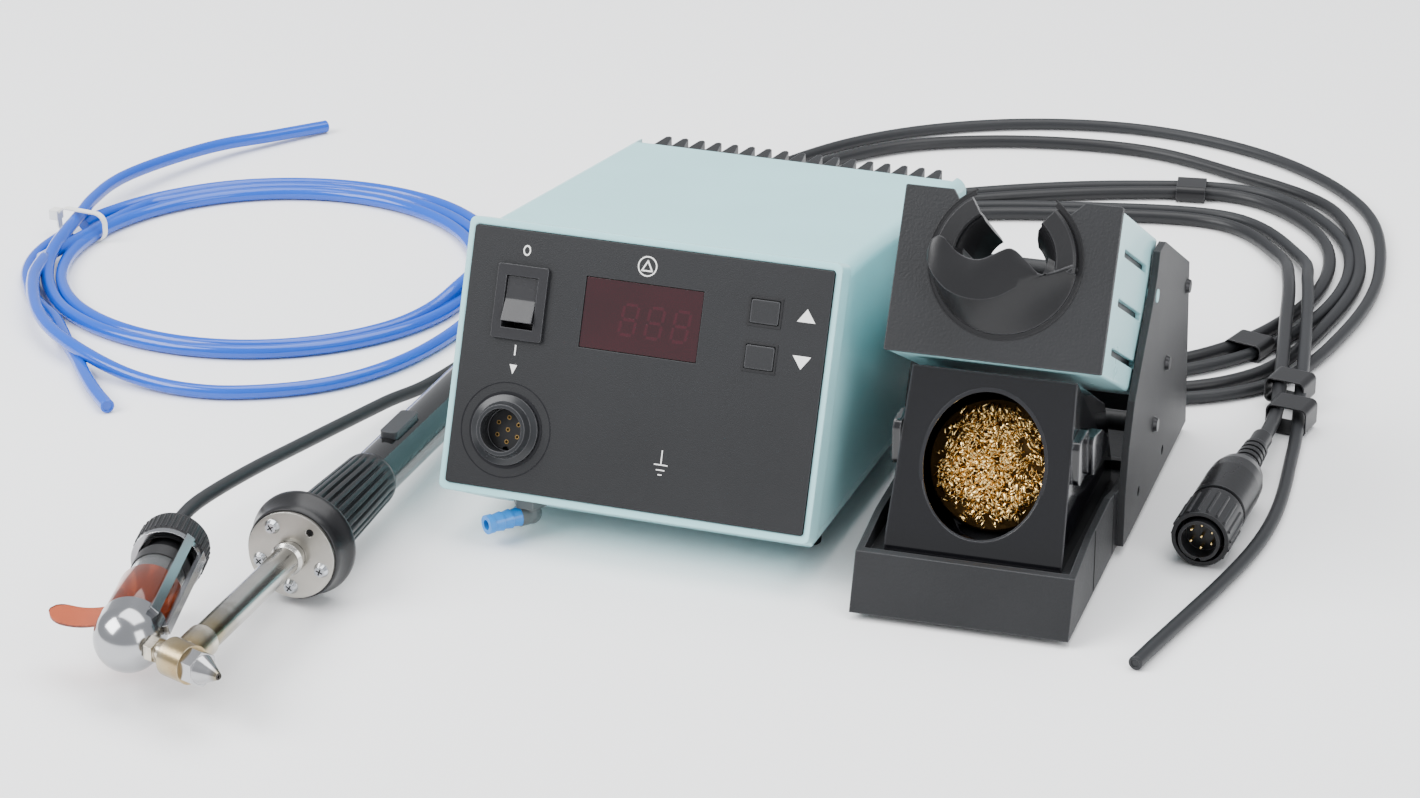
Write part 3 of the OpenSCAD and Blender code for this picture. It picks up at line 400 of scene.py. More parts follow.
air_tips = [tube_end("air_hose_tip_%d" % k, line[-1], line[-1] - line[-2], air_d / 2, 2.1,
    "air_hose", air_blue) for k, line in enumerate((air_line, lower_line))]

# White nylon cable tie round the coil: a ribbed strap pulled tight through its square head.
def shown_in(material, *wanted):
    for node in wanted:
        for held in nodes[node].material_slots:
            held.material = material


shown_in(skinned("tie nylon", (0.78, 0.78, 0.75), 0.35, mottle=0.05, grain=700, depth=0.03),
    "hose_tie")


# The case is moulded in pale teal plastic with a fine satin skin: a lid with its side walls, a
# frame round the front panel and a bevelled tray below. It is screwed together from below.
teal = (0.36, 0.68, 0.71)
case_plastic = skinned("case plastic", teal, 0.3, mottle=0.04, grain=1500, depth=0.05,
    spread=0.08, coat=0.25, edge=1.2, wear=0.35, rub=(0.6, 0.83, 0.85))
shown_in(case_plastic, "upper_housing", "front_frame")
# The tray is the same teal plastic as the case, painted lighter: the extra lightness is painted light
# from the pale floor on its downward-facing bevel.
tray_plastic_painted_lighter = skinned("case tray plastic painted lighter", (0.42, 0.7, 0.73), 0.34, mottle=0.05, grain=1500,
    depth=0.06, edge=1.2, wear=0.3, rub=(0.62, 0.85, 0.87))
shown_in(tray_plastic_painted_lighter, "lower_housing")


# Front panel: black sheet with a fine matt grain. The marks are printed in white, all of them
# plain signs, and a thin ring is cut round the socket.
def place(x, y, z):
    return Matrix.Translation(Vector((x, y, z)))


def turned(degrees, axis):
    return Matrix.Rotation(math.radians(degrees), 4, axis)


def box_of(work, low, high, seat=Matrix()):
    made = bmesh.ops.create_cube(work, size=1)["verts"]
    middle = (Vector(low) + Vector(high)) / 2
    span = Vector(high) - Vector(low)
    for v in made:
        v.co = seat @ (middle + Vector(a * b for a, b in zip(v.co, span)))
    return made


unit_seat = Matrix.Translation(bench) @ place(3, -8.6, 0)
front_seat = unit_seat @ place(0, 0, 24) @ turned(90 - 21.4, "X")
panel_skin = skinned("panel paint", (0.012, 0.0125, 0.014), 0.5, mottle=0.12, grain=1900, depth=0.35,
    spread=0.08, edge=0.5, wear=0.4, rub=(0.12, 0.125, 0.13))
shown_in(panel_skin, "front_panel")


def prism(work, outline, low, high, seat=Matrix()):
    """An upright block with the given outline."""
    rims = [[work.verts.new(seat @ Vector((x, y, z))) for x, y in outline] for z in (low, high)]
    count = len(outline)
    for k in range(count):
        n = (k + 1) % count
        work.faces.new((rims[0][k], rims[0][n], rims[1][n], rims[1][k]))
    work.faces.new(rims[1])
    work.faces.new(rims[0][::-1])


def band(work, middle, outer, inner, low, high, seat=Matrix(), stretch=1.0, count=48, span=(0, 360)):
    """A flat ring, or part of one."""
    full = span[1] - span[0] >= 360
    steps = count if full else count + 1
    rows = []
    for k in range(steps):
        a = math.radians(span[0] + (span[1] - span[0]) * k / count)
        c, s = math.cos(a), math.sin(a) * stretch
        rows.append([work.verts.new(seat @ Vector((middle[0] + r * c, middle[1] + r * s, z)))
            for r, z in ((outer, low), (outer, high), (inner, high), (inner, low))])
    for k in range(count):
        one, two = rows[k], rows[(k + 1) % steps]
        for j in range(4):
            work.faces.new((one[j], two[j], two[(j + 1) % 4], one[(j + 1) % 4]))
    if not full:
        work.faces.new(rows[0][::-1])
        work.faces.new(rows[-1])


socket_at = (-55.5, 28.8)
window_at = (-1.3, 83)
button_rows = (93, 74)
marks = bmesh.new()
ink = (0.96, 1.035, front_seat)
band(marks, (-55.5, 105.2), 1.7, 1.15, *ink, stretch=1.35)
prism(marks, [(-55.8, 60.6), (-55.2, 60.6), (-55.2, 65), (-55.8, 65)], *ink)
prism(marks, [(-57.2, 56.6), (-55.5, 52.6), (-53.8, 56.6)], *ink)
prism(marks, [(66.4, 91), (74.4, 91), (70.4, 96.6)], *ink)
prism(marks, [(66.4, 77), (70.4, 71.4), (74.4, 77)], *ink)
band(marks, (-1.3, 105.3), 4.3, 3.75, *ink)
for a, b in (((-3.6, 103.4), (-1.3, 107.6)), ((-1.3, 107.6), (1, 103.4)), ((1, 103.4), (-3.6, 103.4))):
    side = (Vector(b) - Vector(a)).normalized()
    out = Vector((-side.y, side.x)) * 0.3
    a, b = Vector(a) - side * 0.3, Vector(b) + side * 0.3
    prism(marks, [tuple(a - out), tuple(b - out), tuple(b + out), tuple(a + out)], *ink)
prism(marks, [(14.95, 24), (15.45, 24), (15.45, 30), (14.95, 30)], *ink)
for low, high, half in ((23.6, 24.1, 3), (21.4, 21.9, 1.9), (19.4, 19.9, 0.9)):
    prism(marks, [(15.2 - half, low), (15.2 + half, low), (15.2 + half, high), (15.2 - half, high)],
        *ink)
white_print = skinned("white print", (0.8, 0.8, 0.78), 0.5, mottle=0.1, grain=2600, depth=0.05,
    edge=0.02, wear=0)
finished("panel_marks", marks, "control_unit", white_print)
ring = bmesh.new()
band(ring, socket_at, 20.4, 19.9, 0.9, 1.12, front_seat, count=96)
band(ring, socket_at, 16.4, 15.2, 0.9, 1.3, front_seat, count=96)
finished("socket_ring", ring, "control_unit", skinned("ring lacquer", (0.012, 0.012, 0.014), 0.16,
    grain=400, depth=0.01, edge=0.1))


# Display: a dark red lens over a display module with three unlit digits of seven bars each.
lens = skinned("red lens", (0.02, 0.0008, 0.003), 0.07, mottle=0.35, grain=30, depth=0.0,
    spread=0.03, coat=1, edge=0.3, wear=0.25, rub=(0.2, 0.05, 0.06))
shown_in(lens, "display_window")
shown_in(skinned("display block", (0.012, 0.006, 0.007), 0.5), "display_module")
digits = bmesh.new()
for k in range(3):
    cx, cy, w, h, t = window_at[0] - 5.5 + 11.6 * k, window_at[1] - 1, 3.2, 6.4, 0.62
    lean = Matrix.Identity(4)
    lean[0][1] = 0.12
    lean[0][3] = -0.12 * cy
    for y in (-h, 0, h):
        prism(digits, [(cx - w + 0.7, cy + y - t), (cx + w - 0.7, cy + y - t),
            (cx + w - 0.7, cy + y + t), (cx - w + 0.7, cy + y + t)], 0.4, 0.612, front_seat @ lean)
    for x in (-w, w):
        for low in (-h + 0.8, 0.8):
            prism(digits, [(cx + x - t, cy + low), (cx + x + t, cy + low),
                (cx + x + t, cy + low + h - 1.6), (cx + x - t, cy + low + h - 1.6)], 0.4, 0.612,
                front_seat @ lean)
finished("display_digits", digits, "control_unit", skinned("unlit bars", (0.035, 0.0015, 0.006), 0.1,
    mottle=0.1, grain=300, depth=0, coat=1, edge=0.05, wear=0))


# Rocker switch: a glossy black rocker on a moulded frame that snaps into the panel.
shown_in(skinned("switch frame", (0.018, 0.018, 0.02), 0.32, grain=900, depth=0.08, edge=0.5,
    wear=0.5, rub=(0.16, 0.16, 0.17)), "rocker_frame")
shown_in(skinned("rocker", (0.02, 0.02, 0.022), 0.28, grain=700, depth=0.06, edge=0.7, wear=0.6,
    rub=(0.22, 0.22, 0.23)), "power_rocker")


# Two rubber buttons, each in its own dark opening.
button_rubber = skinned("button rubber", (0.014, 0.0145, 0.016), 0.55, mottle=0.15, grain=1500,
    depth=0.25, edge=0.9, wear=0.55, rub=(0.13, 0.13, 0.14))
shown_in(button_rubber, "button_up", "button_down")
groove = bmesh.new()
for y in button_rows:
    outline = [(44.9, y - 6.3), (59.7, y - 6.3), (59.7, y + 6.3), (44.9, y + 6.3)]
    inner = [(45.8, y - 5.3), (58.8, y - 5.3), (58.8, y + 5.3), (45.8, y + 5.3)]
    rows = [[groove.verts.new(front_seat @ Vector((px, py, z))) for px, py in path]
        for path, z in ((outline, 0.98), (outline, 1.25), (inner, 1.25), (inner, 0.6))]
    for one, two in zip(rows, rows[1:]):
        for k in range(4):
            groove.faces.new((one[k], one[(k + 1) % 4], two[(k + 1) % 4], two[k]))
finished("button_rims", groove, "control_unit", skinned("button rim", (0.012, 0.012, 0.013), 0.4,
    edge=0.2))


# Round seven-way socket: a moulded shell with a rolled rim, and sprung brass contacts within.
shown_in(skinned("socket shell", (0.02, 0.021, 0.023), 0.26, grain=600, depth=0.04, edge=0.6,
    wear=0.5, rub=(0.16, 0.16, 0.17)), "socket_shell")
shown_in(skinned("socket core", (0.012, 0.012, 0.013), 0.45, edge=0.2), "socket_insert")
socket_brass = skinned("socket brass", (0.35, 0.22, 0.08), 0.35, metallic=1, edge=0.1, wear=0)
contacts = bmesh.new()
for k in range(7):
    a = math.radians(60 * k + 30)
    x, y = (0, 0) if k == 6 else (5.2 * math.cos(a), 5.2 * math.sin(a))
    band(contacts, (socket_at[0] + x, socket_at[1] + y), 0.95, 0.6, -7.5, -1.85, front_seat, count=16)
finished("socket_contacts", contacts, "control_unit", socket_brass)


# Inside the case: circuit boards, the mains transformer, and the air-driven vacuum generator.
board_lacquer = skinned("board lacquer", (0.012, 0.1, 0.04), 0.3, mottle=0.3, grain=300, depth=0.1)
shown_in(board_lacquer, "front_board", "main_board")
shown_in(skinned("core steel", (0.16, 0.16, 0.17), 0.45, mottle=0.3, grain=2000, metallic=0.9),
    "transformer_core")
shown_in(skinned("coil copper", (0.5, 0.17, 0.07), 0.35, mottle=0.3, grain=1600, depth=0.5,
    metallic=0.9), "transformer_coil")
shown_in(skinned("cast alloy", (0.45, 0.46, 0.48), 0.5, mottle=0.2, grain=1100, depth=0.4,
    metallic=1), "vacuum_ejector")
shown_in(skinned("valve body", (0.04, 0.042, 0.047), 0.45), "solenoid_valve")


# Vacuum outlet under the front edge: a grey elbow with a blue barbed nipple screwed into it.
shown_in(skinned("elbow plastic", (0.09, 0.1, 0.102), 0.4, grain=900, depth=0.15, edge=0.5,
    wear=0.4, rub=(0.3, 0.31, 0.32)), "vacuum_elbow")
shown_in(skinned("nipple plastic", (0.012, 0.2, 0.6), 0.3, grain=900, depth=0.05, coat=0.3,
    edge=0.3, wear=0.3, rub=(0.2, 0.45, 0.8)), "vacuum_nipple")


# Back of the unit: extruded aluminium fins, anodised black, over a sheet-metal panel with the
# mains inlet, the push-in air fitting and the earth jack. Screws and rubber feet are below.
shown_in(skinned("dark anodising", (0.02, 0.021, 0.023), 0.38, mottle=0.2, grain=1800, depth=0.3,
    metallic=0.6, edge=0.7, wear=0.7, rub=(0.24, 0.25, 0.26)), "heat_sink")
shown_in(skinned("rear sheet", (0.035, 0.037, 0.04), 0.5, mottle=0.15, grain=1900, depth=0.35),
    "rear_panel")
shown_in(skinned("inlet plastic", (0.018, 0.018, 0.02), 0.35, edge=0.4), "mains_inlet")
plated = skinned("nickel plate", (0.62, 0.61, 0.58), 0.24, mottle=0.15, grain=1400, depth=0.06,
    metallic=1, edge=0.3, wear=0.4, rub=(0.9, 0.9, 0.9))
shown_in(plated, "air_inlet", "case_screws")
shown_in(skinned("jack brass", (0.7, 0.48, 0.18), 0.28, metallic=1, edge=0.3), "earth_jack")
shown_in(skinned("foot rubber", (0.018, 0.018, 0.018), 0.7, mottle=0.2, grain=700, depth=0.4),
    "unit_feet", "stand_feet")


# Tool stand: a heavy base with two trays, and a pair of steel side arms on cross bars.
stand_seat = Matrix.Translation(bench) @ place(154, -19.4, 0) @ turned(2.5, "Z")
textured = skinned("textured black", (0.013, 0.0135, 0.015), 0.52, mottle=0.25, grain=950, depth=0.55,
    spread=0.15, edge=0.7, wear=0.55, rub=(0.13, 0.133, 0.14))
shown_in(textured, "stand_base")
arm_paint = skinned("arm paint", (0.02, 0.0205, 0.022), 0.5, mottle=0.2, grain=1500, depth=0.4,
    edge=0.6, wear=0.5, rub=(0.15, 0.155, 0.16))
shown_in(arm_paint, "side_arm_left", "side_arm_right", "cross_bars")
shown_in(skinned("blackened screws", (0.035, 0.035, 0.037), 0.3, metallic=0.7, edge=0.4, wear=0.5,
    rub=(0.3, 0.3, 0.31)), "arm_screws")
seams = bmesh.new()
for side in (-1, 1):
    x = side * 46
    for y in (47, 84):
        box_of(seams, (x - 0.15, y - 0.4, 4), (x + 0.15, y + 0.4, 31.5), stand_seat)
finished("base_seams", seams, "tool_stand", skinned("seam shadow", (0.006, 0.006, 0.006), 0.8))


# Rest head: a teal moulding with slotted cheeks that tilts on its axle, faced with a textured
# black plate. The rest itself is a black heat-proof moulding: two horns and a scoop below.
head_seat = stand_seat @ place(0, 46.5, 101.5) @ turned(62, "X")
shown_in(skinned("head plastic", (0.36, 0.66, 0.69), 0.3, mottle=0.05, grain=1500, depth=0.05,
    coat=0.2, edge=1.0, wear=0.35, rub=(0.62, 0.85, 0.87)), "head_block")
shown_in(textured, "head_plate")
rest_seat = head_seat @ place(0, 41.5, 0)


def loft(work, rows, seat, closed=True):
    """Skin over rows of points. A closed row is a loop."""
    made = [[work.verts.new(seat @ Vector(p)) for p in row] for row in rows]
    count = len(made[0])
    for one, two in zip(made, made[1:]):
        for k in range(count if closed else count - 1):
            n = (k + 1) % count
            work.faces.new((one[k], one[n], two[n], two[k]))
    return made


def horn_ring(work, start, stop, seat):
    rows = []
    for k in range(33):
        a = math.radians(start + (stop - start) * k / 32)
        c, s = math.cos(a), math.sin(a)
        rows.append([(r * c, r * s, z) for r, z in ((20.6, -1), (21.2, 3.2), (22, 3.9), (28.8, 3.9),
            (29.8, 3.1), (30.2, 0.2), (29.4, -1.5))])
    made = loft(work, rows, seat)
    work.faces.new(made[0])
    work.faces.new(made[-1][::-1])


rest = bmesh.new()
horn_ring(rest, 124, 186, rest_seat)
horn_ring(rest, -4, 51, rest_seat)
lip = [(-29.6, 1.5, 13.6), (-28.4, 4.2, 14.8), (-26, 6, 15.2), (-23.4, 5.6, 15.2), (-20.5, 2.8, 14.8),
    (-17, 0.2, 14.4), (-12.5, -1.6, 14), (-7.5, -1.5, 13.8), (-3, 0.8, 13.4), (0.5, 3, 13),
    (3.4, 4.4, 12.4), (6.4, 3.6, 11.6), (11, 0, 10), (16.6, -4.2, 8.2), (21.5, -2.4, 6.4),
    (27.4, 0.8, 4.6), (29.2, 1.4, 3.4)]
fold = [(-30.2, -1.2, 12.6), (-29.4, -4, 14.2), (-27.4, -8, 15), (-24.4, -11.6, 15), (-20.6, -14.8, 14.4),
    (-16.2, -16.8, 13.6), (-11.4, -17.8, 12.6), (-6.4, -17.8, 11.6), (-1.6, -16.6, 10.8),
    (2.6, -14.6, 10.2), (6.2, -12, 9.6), (9.4, -9.6, 9), (13, -7.2, 8.2), (17.2, -5, 7.4),
    (22, -3.2, 5.8), (27.8, -0.4, 4.2), (29.6, 0.4, 2.6)]
fine_lip = curve_through([Vector(p) for p in lip], 1.4)
fine_fold = curve_through([Vector(p) for p in fold], 1.4)


def spaced(line, count):
    """The line again, as a given number of even steps."""
    lengths = [0]
    for a, b in zip(line, line[1:]):
        lengths.append(lengths[-1] + (b - a).length)
    out, j = [], 0
    for k in range(count + 1):
        want = lengths[-1] * k / count
        while j < len(line) - 2 and lengths[j + 1] < want:
            j += 1
        t = (want - lengths[j]) / max(1e-9, lengths[j + 1] - lengths[j])
        out.append(line[j].lerp(line[j + 1], min(1, t)))
    return out


rows = []
for k, (top, bend) in enumerate(zip(spaced(fine_lip, 80), spaced(fine_fold, 80))):
    a = math.radians(180 + 180 * k / 80)
    c, s = math.cos(a), math.sin(a)
    foot = Vector((30.1 * c, 30.1 * s, 0.2))
    swell = foot.lerp(bend, 0.55) + Vector((0.9 * c, 0.9 * s, -1.6))
    inside = Vector((top.x * 0.9, top.y - 1.6, top.z - 1.2))
    rows.append([foot, foot.lerp(swell, 0.5), swell, bend + Vector((0, -0.35, -0.5)), bend,
        bend.lerp(top, 0.33) + Vector((0, 0, 0.5)), bend.lerp(top, 0.7) + Vector((0, 0, 0.45)),
        top + Vector((0, -0.5, 0.1)), top, inside,
        Vector((17.8 * c, 17.8 * s + 3.4, 1.5)), Vector((15 * c, 15 * s, -12)),
        Vector((12.4 * c, 12.4 * s, -25.4)), Vector((14.6 * c, 14.6 * s, -25.8)),
        Vector((24.6 * c, 24.6 * s, -1))])
made = loft(rest, rows, rest_seat)
rest.faces.new(made[0])
rest.faces.new(made[-1][::-1])
for start, stop in ((124, 182), (-2, 51)):
    rows = []
    for k in range(25):
        a = math.radians(start + (stop - start) * k / 24)
        c, s = math.cos(a), math.sin(a)
        rows.append([(r * c, r * s, z) for r, z in ((20.9, 0.6), (18.4, -1.4), (15.2, -12), (12.5, -25),
            (14.4, -25.6), (23.4, -2), (24.6, 0))])
    made = loft(rest, rows, rest_seat)
    rest.faces.new(made[0])
    rest.faces.new(made[-1][::-1])
bmesh.ops.recalc_face_normals(rest, faces=rest.faces)
rest_skin = skinned("rest moulding", (0.01, 0.01, 0.011), 0.36, mottle=0.2, grain=700, depth=0.12,
    edge=0.6, wear=0.4, rub=(0.13, 0.13, 0.14))
finished("rest_scoop", rest, "rest_head", rest_skin, ["tool_rest"], crease=38)
ring = bmesh.new()
band(ring, (0, 0), 32.6, 31.9, -0.2, 0.12, rest_seat, count=64, span=(118, 417))
band(ring, (0, 0), 31.9, 30.2, -0.2, 0.03, rest_seat, count=64, span=(120, 415))
finished("rest_recess", ring, "rest_head", skinned("recess black", (0.01, 0.01, 0.011), 0.3))


# Inside the rest head: a black liner of thin sheet, which shows through the slots of the cheeks,
# and the wire spring that holds the head up.
liner = bmesh.new()
for side in (-1, 1):
    box_of(liner, (side * 42.45, 3.6, -84), (side * 42.1, 62, -7), head_seat)
box_of(liner, (-42, 3.6, -84), (42, 4, -7), head_seat)
finished("head_liner", liner, "rest_head", skinned("liner black", (0.008, 0.008, 0.009), 0.45,
    grain=900, depth=0.2, edge=0.3))
spring = [head_seat @ Vector(p) for p in ((-30, 6.2, -60), (-14, 8, -52), (0, 9.5, -46), (12, 9.4, -44),
    (24, 8, -50), (34, 6.2, -62))]
wire = bpy.data.curves.new("head_spring_wire", "CURVE")
wire.dimensions = "3D"
wire.bevel_depth = 1.1 * MM
wire.bevel_resolution = 4
wire.use_fill_caps = True
spring = curve_through(spring, 2)
path = wire.splines.new("POLY")
path.points.add(len(spring) - 1)
for held, spot in zip(path.points, spring):
    held.co = (*(spot * MM), 1)
add_piece("head_spring_wire", wire, "rest_head", plated)


# Cleaning box: a glossy black steel cover with an oval window. It slides out over the tray.
box_seat = stand_seat @ place(0, 22, 22.7) @ turned(66, "X")
shown_in(skinned("box enamel", (0.004, 0.004, 0.005), 0.1, mottle=0.1, grain=500, depth=0.02,
    spread=0.04, coat=0.6, edge=1.3, wear=0.5, rub=(0.1, 0.1, 0.11)), "cleaning_box")
ring = bmesh.new()
band(ring, (0, 39.3), 26.9, 25.4, -0.8, 0.35, box_seat, stretch=1.2, count=72)
finished("window_hem", ring, "wool_box", skinned("hem enamel", (0.012, 0.012, 0.014), 0.12,
    coat=0.6, edge=0.3))


# The wool: flat brass turnings, each curled into a loose spring and packed in behind the window
# round a darker heart. It stays in by its own spring.
chance = random.Random(7)
wool_metal = skinned("brass turnings", (0.78, 0.55, 0.22), 0.2, mottle=0.5, grain=1200, depth=0.15,
    spread=0.2, metallic=1, edge=0.05, wear=0)
curls = bmesh.new()
for k in range(420):
    spread_out = math.sqrt(chance.random())
    around = chance.random() * 2 * math.pi
    middle = Vector((23 * spread_out * math.cos(around), 40 + 23.5 * spread_out * math.sin(around),
        -11.6 - 5.5 * spread_out ** 2 - 3.5 * chance.random()))
    axis = Vector((chance.uniform(-1, 1), chance.uniform(-1, 1), chance.uniform(-0.35, 0.35)))
    seat = Matrix.Translation(middle) @ axis.to_track_quat("Z", "Y").to_matrix().to_4x4()
    r, pitch, turns = chance.uniform(1.0, 2.2), chance.uniform(1.6, 3.6), chance.uniform(1.4, 3.2)
    width = chance.uniform(0.22, 0.42)
    count = int(turns * 12)
    rows = []
    for j in range(count + 1):
        a = 2 * math.pi * turns * j / count
        z = pitch * turns * (j / count - 0.5)
        c, s = math.cos(a), math.sin(a)
        rows.append([(r * c, r * s, z - width), ((r + 0.12) * c, (r + 0.12) * s, z),
            (r * c, r * s, z + width), ((r - 0.12) * c, (r - 0.12) * s, z)])
    loft(curls, rows, box_seat @ seat)
finished("wool_curls", curls, "wool_box", wool_metal, ["brass_wool"])
lathe("wool_heart", [(0, -26), (22, -26), (28, -24), (27, -21), (18, -18.5), (0, -17.5)],
    box_seat @ place(0, 40, 0), "wool_box", skinned("wool shade", (0.09, 0.05, 0.014), 0.5,
    mottle=1, grain=500, depth=1, metallic=0.8))


# Desoldering iron, hot end: a plated brass head with the nozzle on one side, on a steel heater
# tube. Heat has drawn straw and blue colours over the plate.
def heat_group():
    """Colours that heat draws along a metal: clean, straw, brown, blue, by distance."""
    group = bpy.data.node_groups.new("heat colours", "ShaderNodeTree")
    socket(group, "Hot Point", "INPUT", "NodeSocketVector")
    socket(group, "Reach", "INPUT", "NodeSocketFloat", 0.04)
    socket(group, "Clean Colour", "INPUT", "NodeSocketColor", (0.6, 0.6, 0.6, 1))
    socket(group, "Colour", "OUTPUT", "NodeSocketColor")
    tree, link = group.nodes, group.links.new
    taken = tree.new("NodeGroupInput")
    given = tree.new("NodeGroupOutput")
    at = tree.new("ShaderNodeTexCoord")
    far = tree.new("ShaderNodeVectorMath")
    far.operation = "DISTANCE"
    link(at.outputs["Object"], far.inputs[0])
    link(taken.outputs["Hot Point"], far.inputs[1])
    drift = tree.new("ShaderNodeTexNoise")
    drift.inputs["Scale"].default_value = 130
    drift.inputs["Detail"].default_value = 4
    link(at.outputs["Object"], drift.inputs["Vector"])
    share = tree.new("ShaderNodeMath")
    share.operation = "DIVIDE"
    link(far.outputs["Value"], share.inputs[0])
    link(taken.outputs["Reach"], share.inputs[1])
    mixed = tree.new("ShaderNodeMath")
    mixed.operation = "MULTIPLY_ADD"
    mixed.inputs[1].default_value = 0.45
    link(drift.outputs["Fac"], mixed.inputs[0])
    link(share.outputs[0], mixed.inputs[2])
    ramp = tree.new("ShaderNodeValToRGB")
    stops = [(0.16, (0.25, 0.17, 0.1)), (0.4, (0.42, 0.31, 0.17)), (0.62, (0.58, 0.5, 0.34)),
        (0.82, (0.62, 0.6, 0.56)), (1, (1, 1, 1))]
    while len(ramp.color_ramp.elements) < len(stops):
        ramp.color_ramp.elements.new(0.5)
    for held, (spot, colour) in zip(ramp.color_ramp.elements, stops):
        held.position = spot
        held.color = (*colour, 1)
    link(mixed.outputs[0], ramp.inputs["Fac"])
    tone = tree.new("ShaderNodeMix")
    tone.data_type = "RGBA"
    tone.blend_type = "MULTIPLY"
    tone.inputs[0].default_value = 1
    link(ramp.outputs["Color"], tone.inputs[6])
    link(taken.outputs["Clean Colour"], tone.inputs[7])
    link(tone.outputs[2], given.inputs["Colour"])
    return group


heat_colours = heat_group()
iron_seat = Matrix.Translation(bench) @ place(-111.4, -88.6, 23.5) @ turned(1.7, "Z") @ turned(-1.7, "X")
along_iron = iron_seat @ turned(-90, "X")
nozzle_seat = iron_seat @ place(0, -105, 0) @ turned(-23, "Z")


def heated(name, colour, rough, hot, reach, **more):
    material = skinned(name, colour, rough, metallic=1, **more)
    tree, link = material.node_tree.nodes, material.node_tree.links.new
    heat = tree.new("ShaderNodeGroup")
    heat.node_tree = heat_colours
    heat.inputs["Hot Point"].default_value = hot * MM
    heat.inputs["Reach"].default_value = reach * MM
    heat.inputs["Clean Colour"].default_value = (*colour, 1)
    skin = next(n for n in tree if n.type == "GROUP" and n.node_tree == moulded_skin)
    link(heat.outputs["Colour"], skin.inputs["Colour"])
    return material


hot_end = nozzle_seat @ Vector((4, 0, 0))
shown_in(heated("head plate metal", (0.62, 0.57, 0.48), 0.26, hot_end, 26, mottle=0.2, grain=900,
    depth=0.05, edge=0.4, wear=0.3), "heater_head")
shown_in(heated("nozzle metal", (0.4, 0.4, 0.41), 0.2, nozzle_seat @ Vector((24, 0, 0)), 9,
    mottle=0.2, grain=900, depth=0.05, edge=0.25, wear=0.3), "nozzle")
shown_in(heated("tube steel", (0.5, 0.49, 0.46), 0.22, hot_end, 62, mottle=0.25, grain=1400,
    depth=0.08, edge=0.3, wear=0.3), "heater_tube")
lathe("nozzle_bore", [(1.5, 21.02), (1.3, 21.3), (0.8, 21.3), (0.75, 18)],
    nozzle_seat @ turned(90, "Y"), "desoldering_iron", skinned("bore soot", (0.05, 0.045, 0.04), 0.6,
    metallic=0.5, edge=0.1), closed=False, segments=24)


# Guard plate: a round nickel-plated steel disc. Four cross-head screws hold it on a black guard,
# and the fifth hole is empty.
brushed = skinned("brushed plate", (0.5, 0.48, 0.44), 0.32, mottle=0.35, grain=1700, depth=0.12,
    spread=0.25, metallic=1, edge=0.3, wear=0.4, rub=(0.85, 0.84, 0.8))
shown_in(brushed, "guard_plate")
zinc = skinned("zinc screws", (0.5, 0.52, 0.55), 0.2, mottle=0.15, grain=900, depth=0.05,
    metallic=1, edge=0.25, wear=0.4, rub=(0.95, 0.95, 0.95))
shown_in(zinc, "guard_screws")
crosses = bmesh.new()
for k in range(4):
    seat = iron_seat @ turned(72 * k + 20, "Y") @ place(14.2, -2.24, 0) @ turned(31 * k, "Y")
    box_of(crosses, (-1.5, 0, -0.32), (1.5, 0.3, 0.32), seat)
    box_of(crosses, (-0.32, 0, -1.5), (0.32, 0.3, 1.5), seat)
finished("screw_crosses", crosses, "desoldering_iron", skinned("cross shade", (0.03, 0.03, 0.03),
    0.5, metallic=0.6, edge=0.1))


# Hand guard: a moulded cone with a rolled rim that keeps the hand off the hot end.
guard_skin = skinned("guard moulding", (0.008, 0.008, 0.009), 0.3, mottle=0.2, grain=800, depth=0.12,
    edge=0.6, wear=0.35, rub=(0.12, 0.12, 0.125))
lathe("hand_guard_cone", [(7, 1.6), (19.6, 1.6), (20.1, 2.2), (20.2, 5), (21.2, 8.4), (22.1, 10.6),
    (22.7, 11.8), (23, 13), (22.9, 14.4), (22.2, 15.4), (20.5, 15.9), (16, 16), (7, 16)],
    along_iron, "desoldering_iron", guard_skin, ["hand_guard"], segments=96, crease=40)


# Ribbed grip: a soft black moulding, fluted lengthways and thicker at its front end.
grip_rows = []
for y, r, deep in ((16.1, 13.4, 0), (16.6, 14.6, 0), (20.5, 15, 0), (22.5, 14.9, 0.4), (25, 14.8, 1.5),
        (36, 14.5, 1.7), (50, 14, 1.7), (64, 13.4, 1.6), (76, 12.9, 1.3), (79.5, 12.7, 0.4),
        (81.5, 12.7, 0), (83.6, 12.4, 0), (84.1, 11.6, 0), (84.1, 8.2, 0)):
    row = []
    for k in range(192):
        a = 2 * math.pi * k / 192
        wave = 0.5 + 0.5 * math.cos(24 * a)
        cut = deep * (1 - min(1, wave * 1.9))
        row.append(((r - cut) * math.cos(a), (r - cut) * math.sin(a), y))
    grip_rows.append(row)
grip = bmesh.new()
loft(grip, grip_rows, along_iron)
bmesh.ops.recalc_face_normals(grip, faces=grip.faces)
grip_skin = skinned("grip moulding", (0.01, 0.01, 0.011), 0.38, mottle=0.2, grain=700, depth=0.1,
    edge=0.4, wear=0.4, rub=(0.12, 0.12, 0.125))
finished("ribbed_grip_flutes", grip, "desoldering_iron", grip_skin, ["ribbed_grip"],
    crease=50)


# Handle: a glossy black tube, drawn in at its back end to the cable gland, with a sprung finger
# switch let into it.
shown_in(skinned("handle gloss", (0.005, 0.005, 0.0055), 0.09, mottle=0.1, grain=400, depth=0.01,
    spread=0.05, coat=0.5, edge=0.6, wear=0.2), "handle")
shown_in(skinned("switch cap", (0.03, 0.031, 0.034), 0.4, edge=0.8, wear=0.5), "finger_switch")


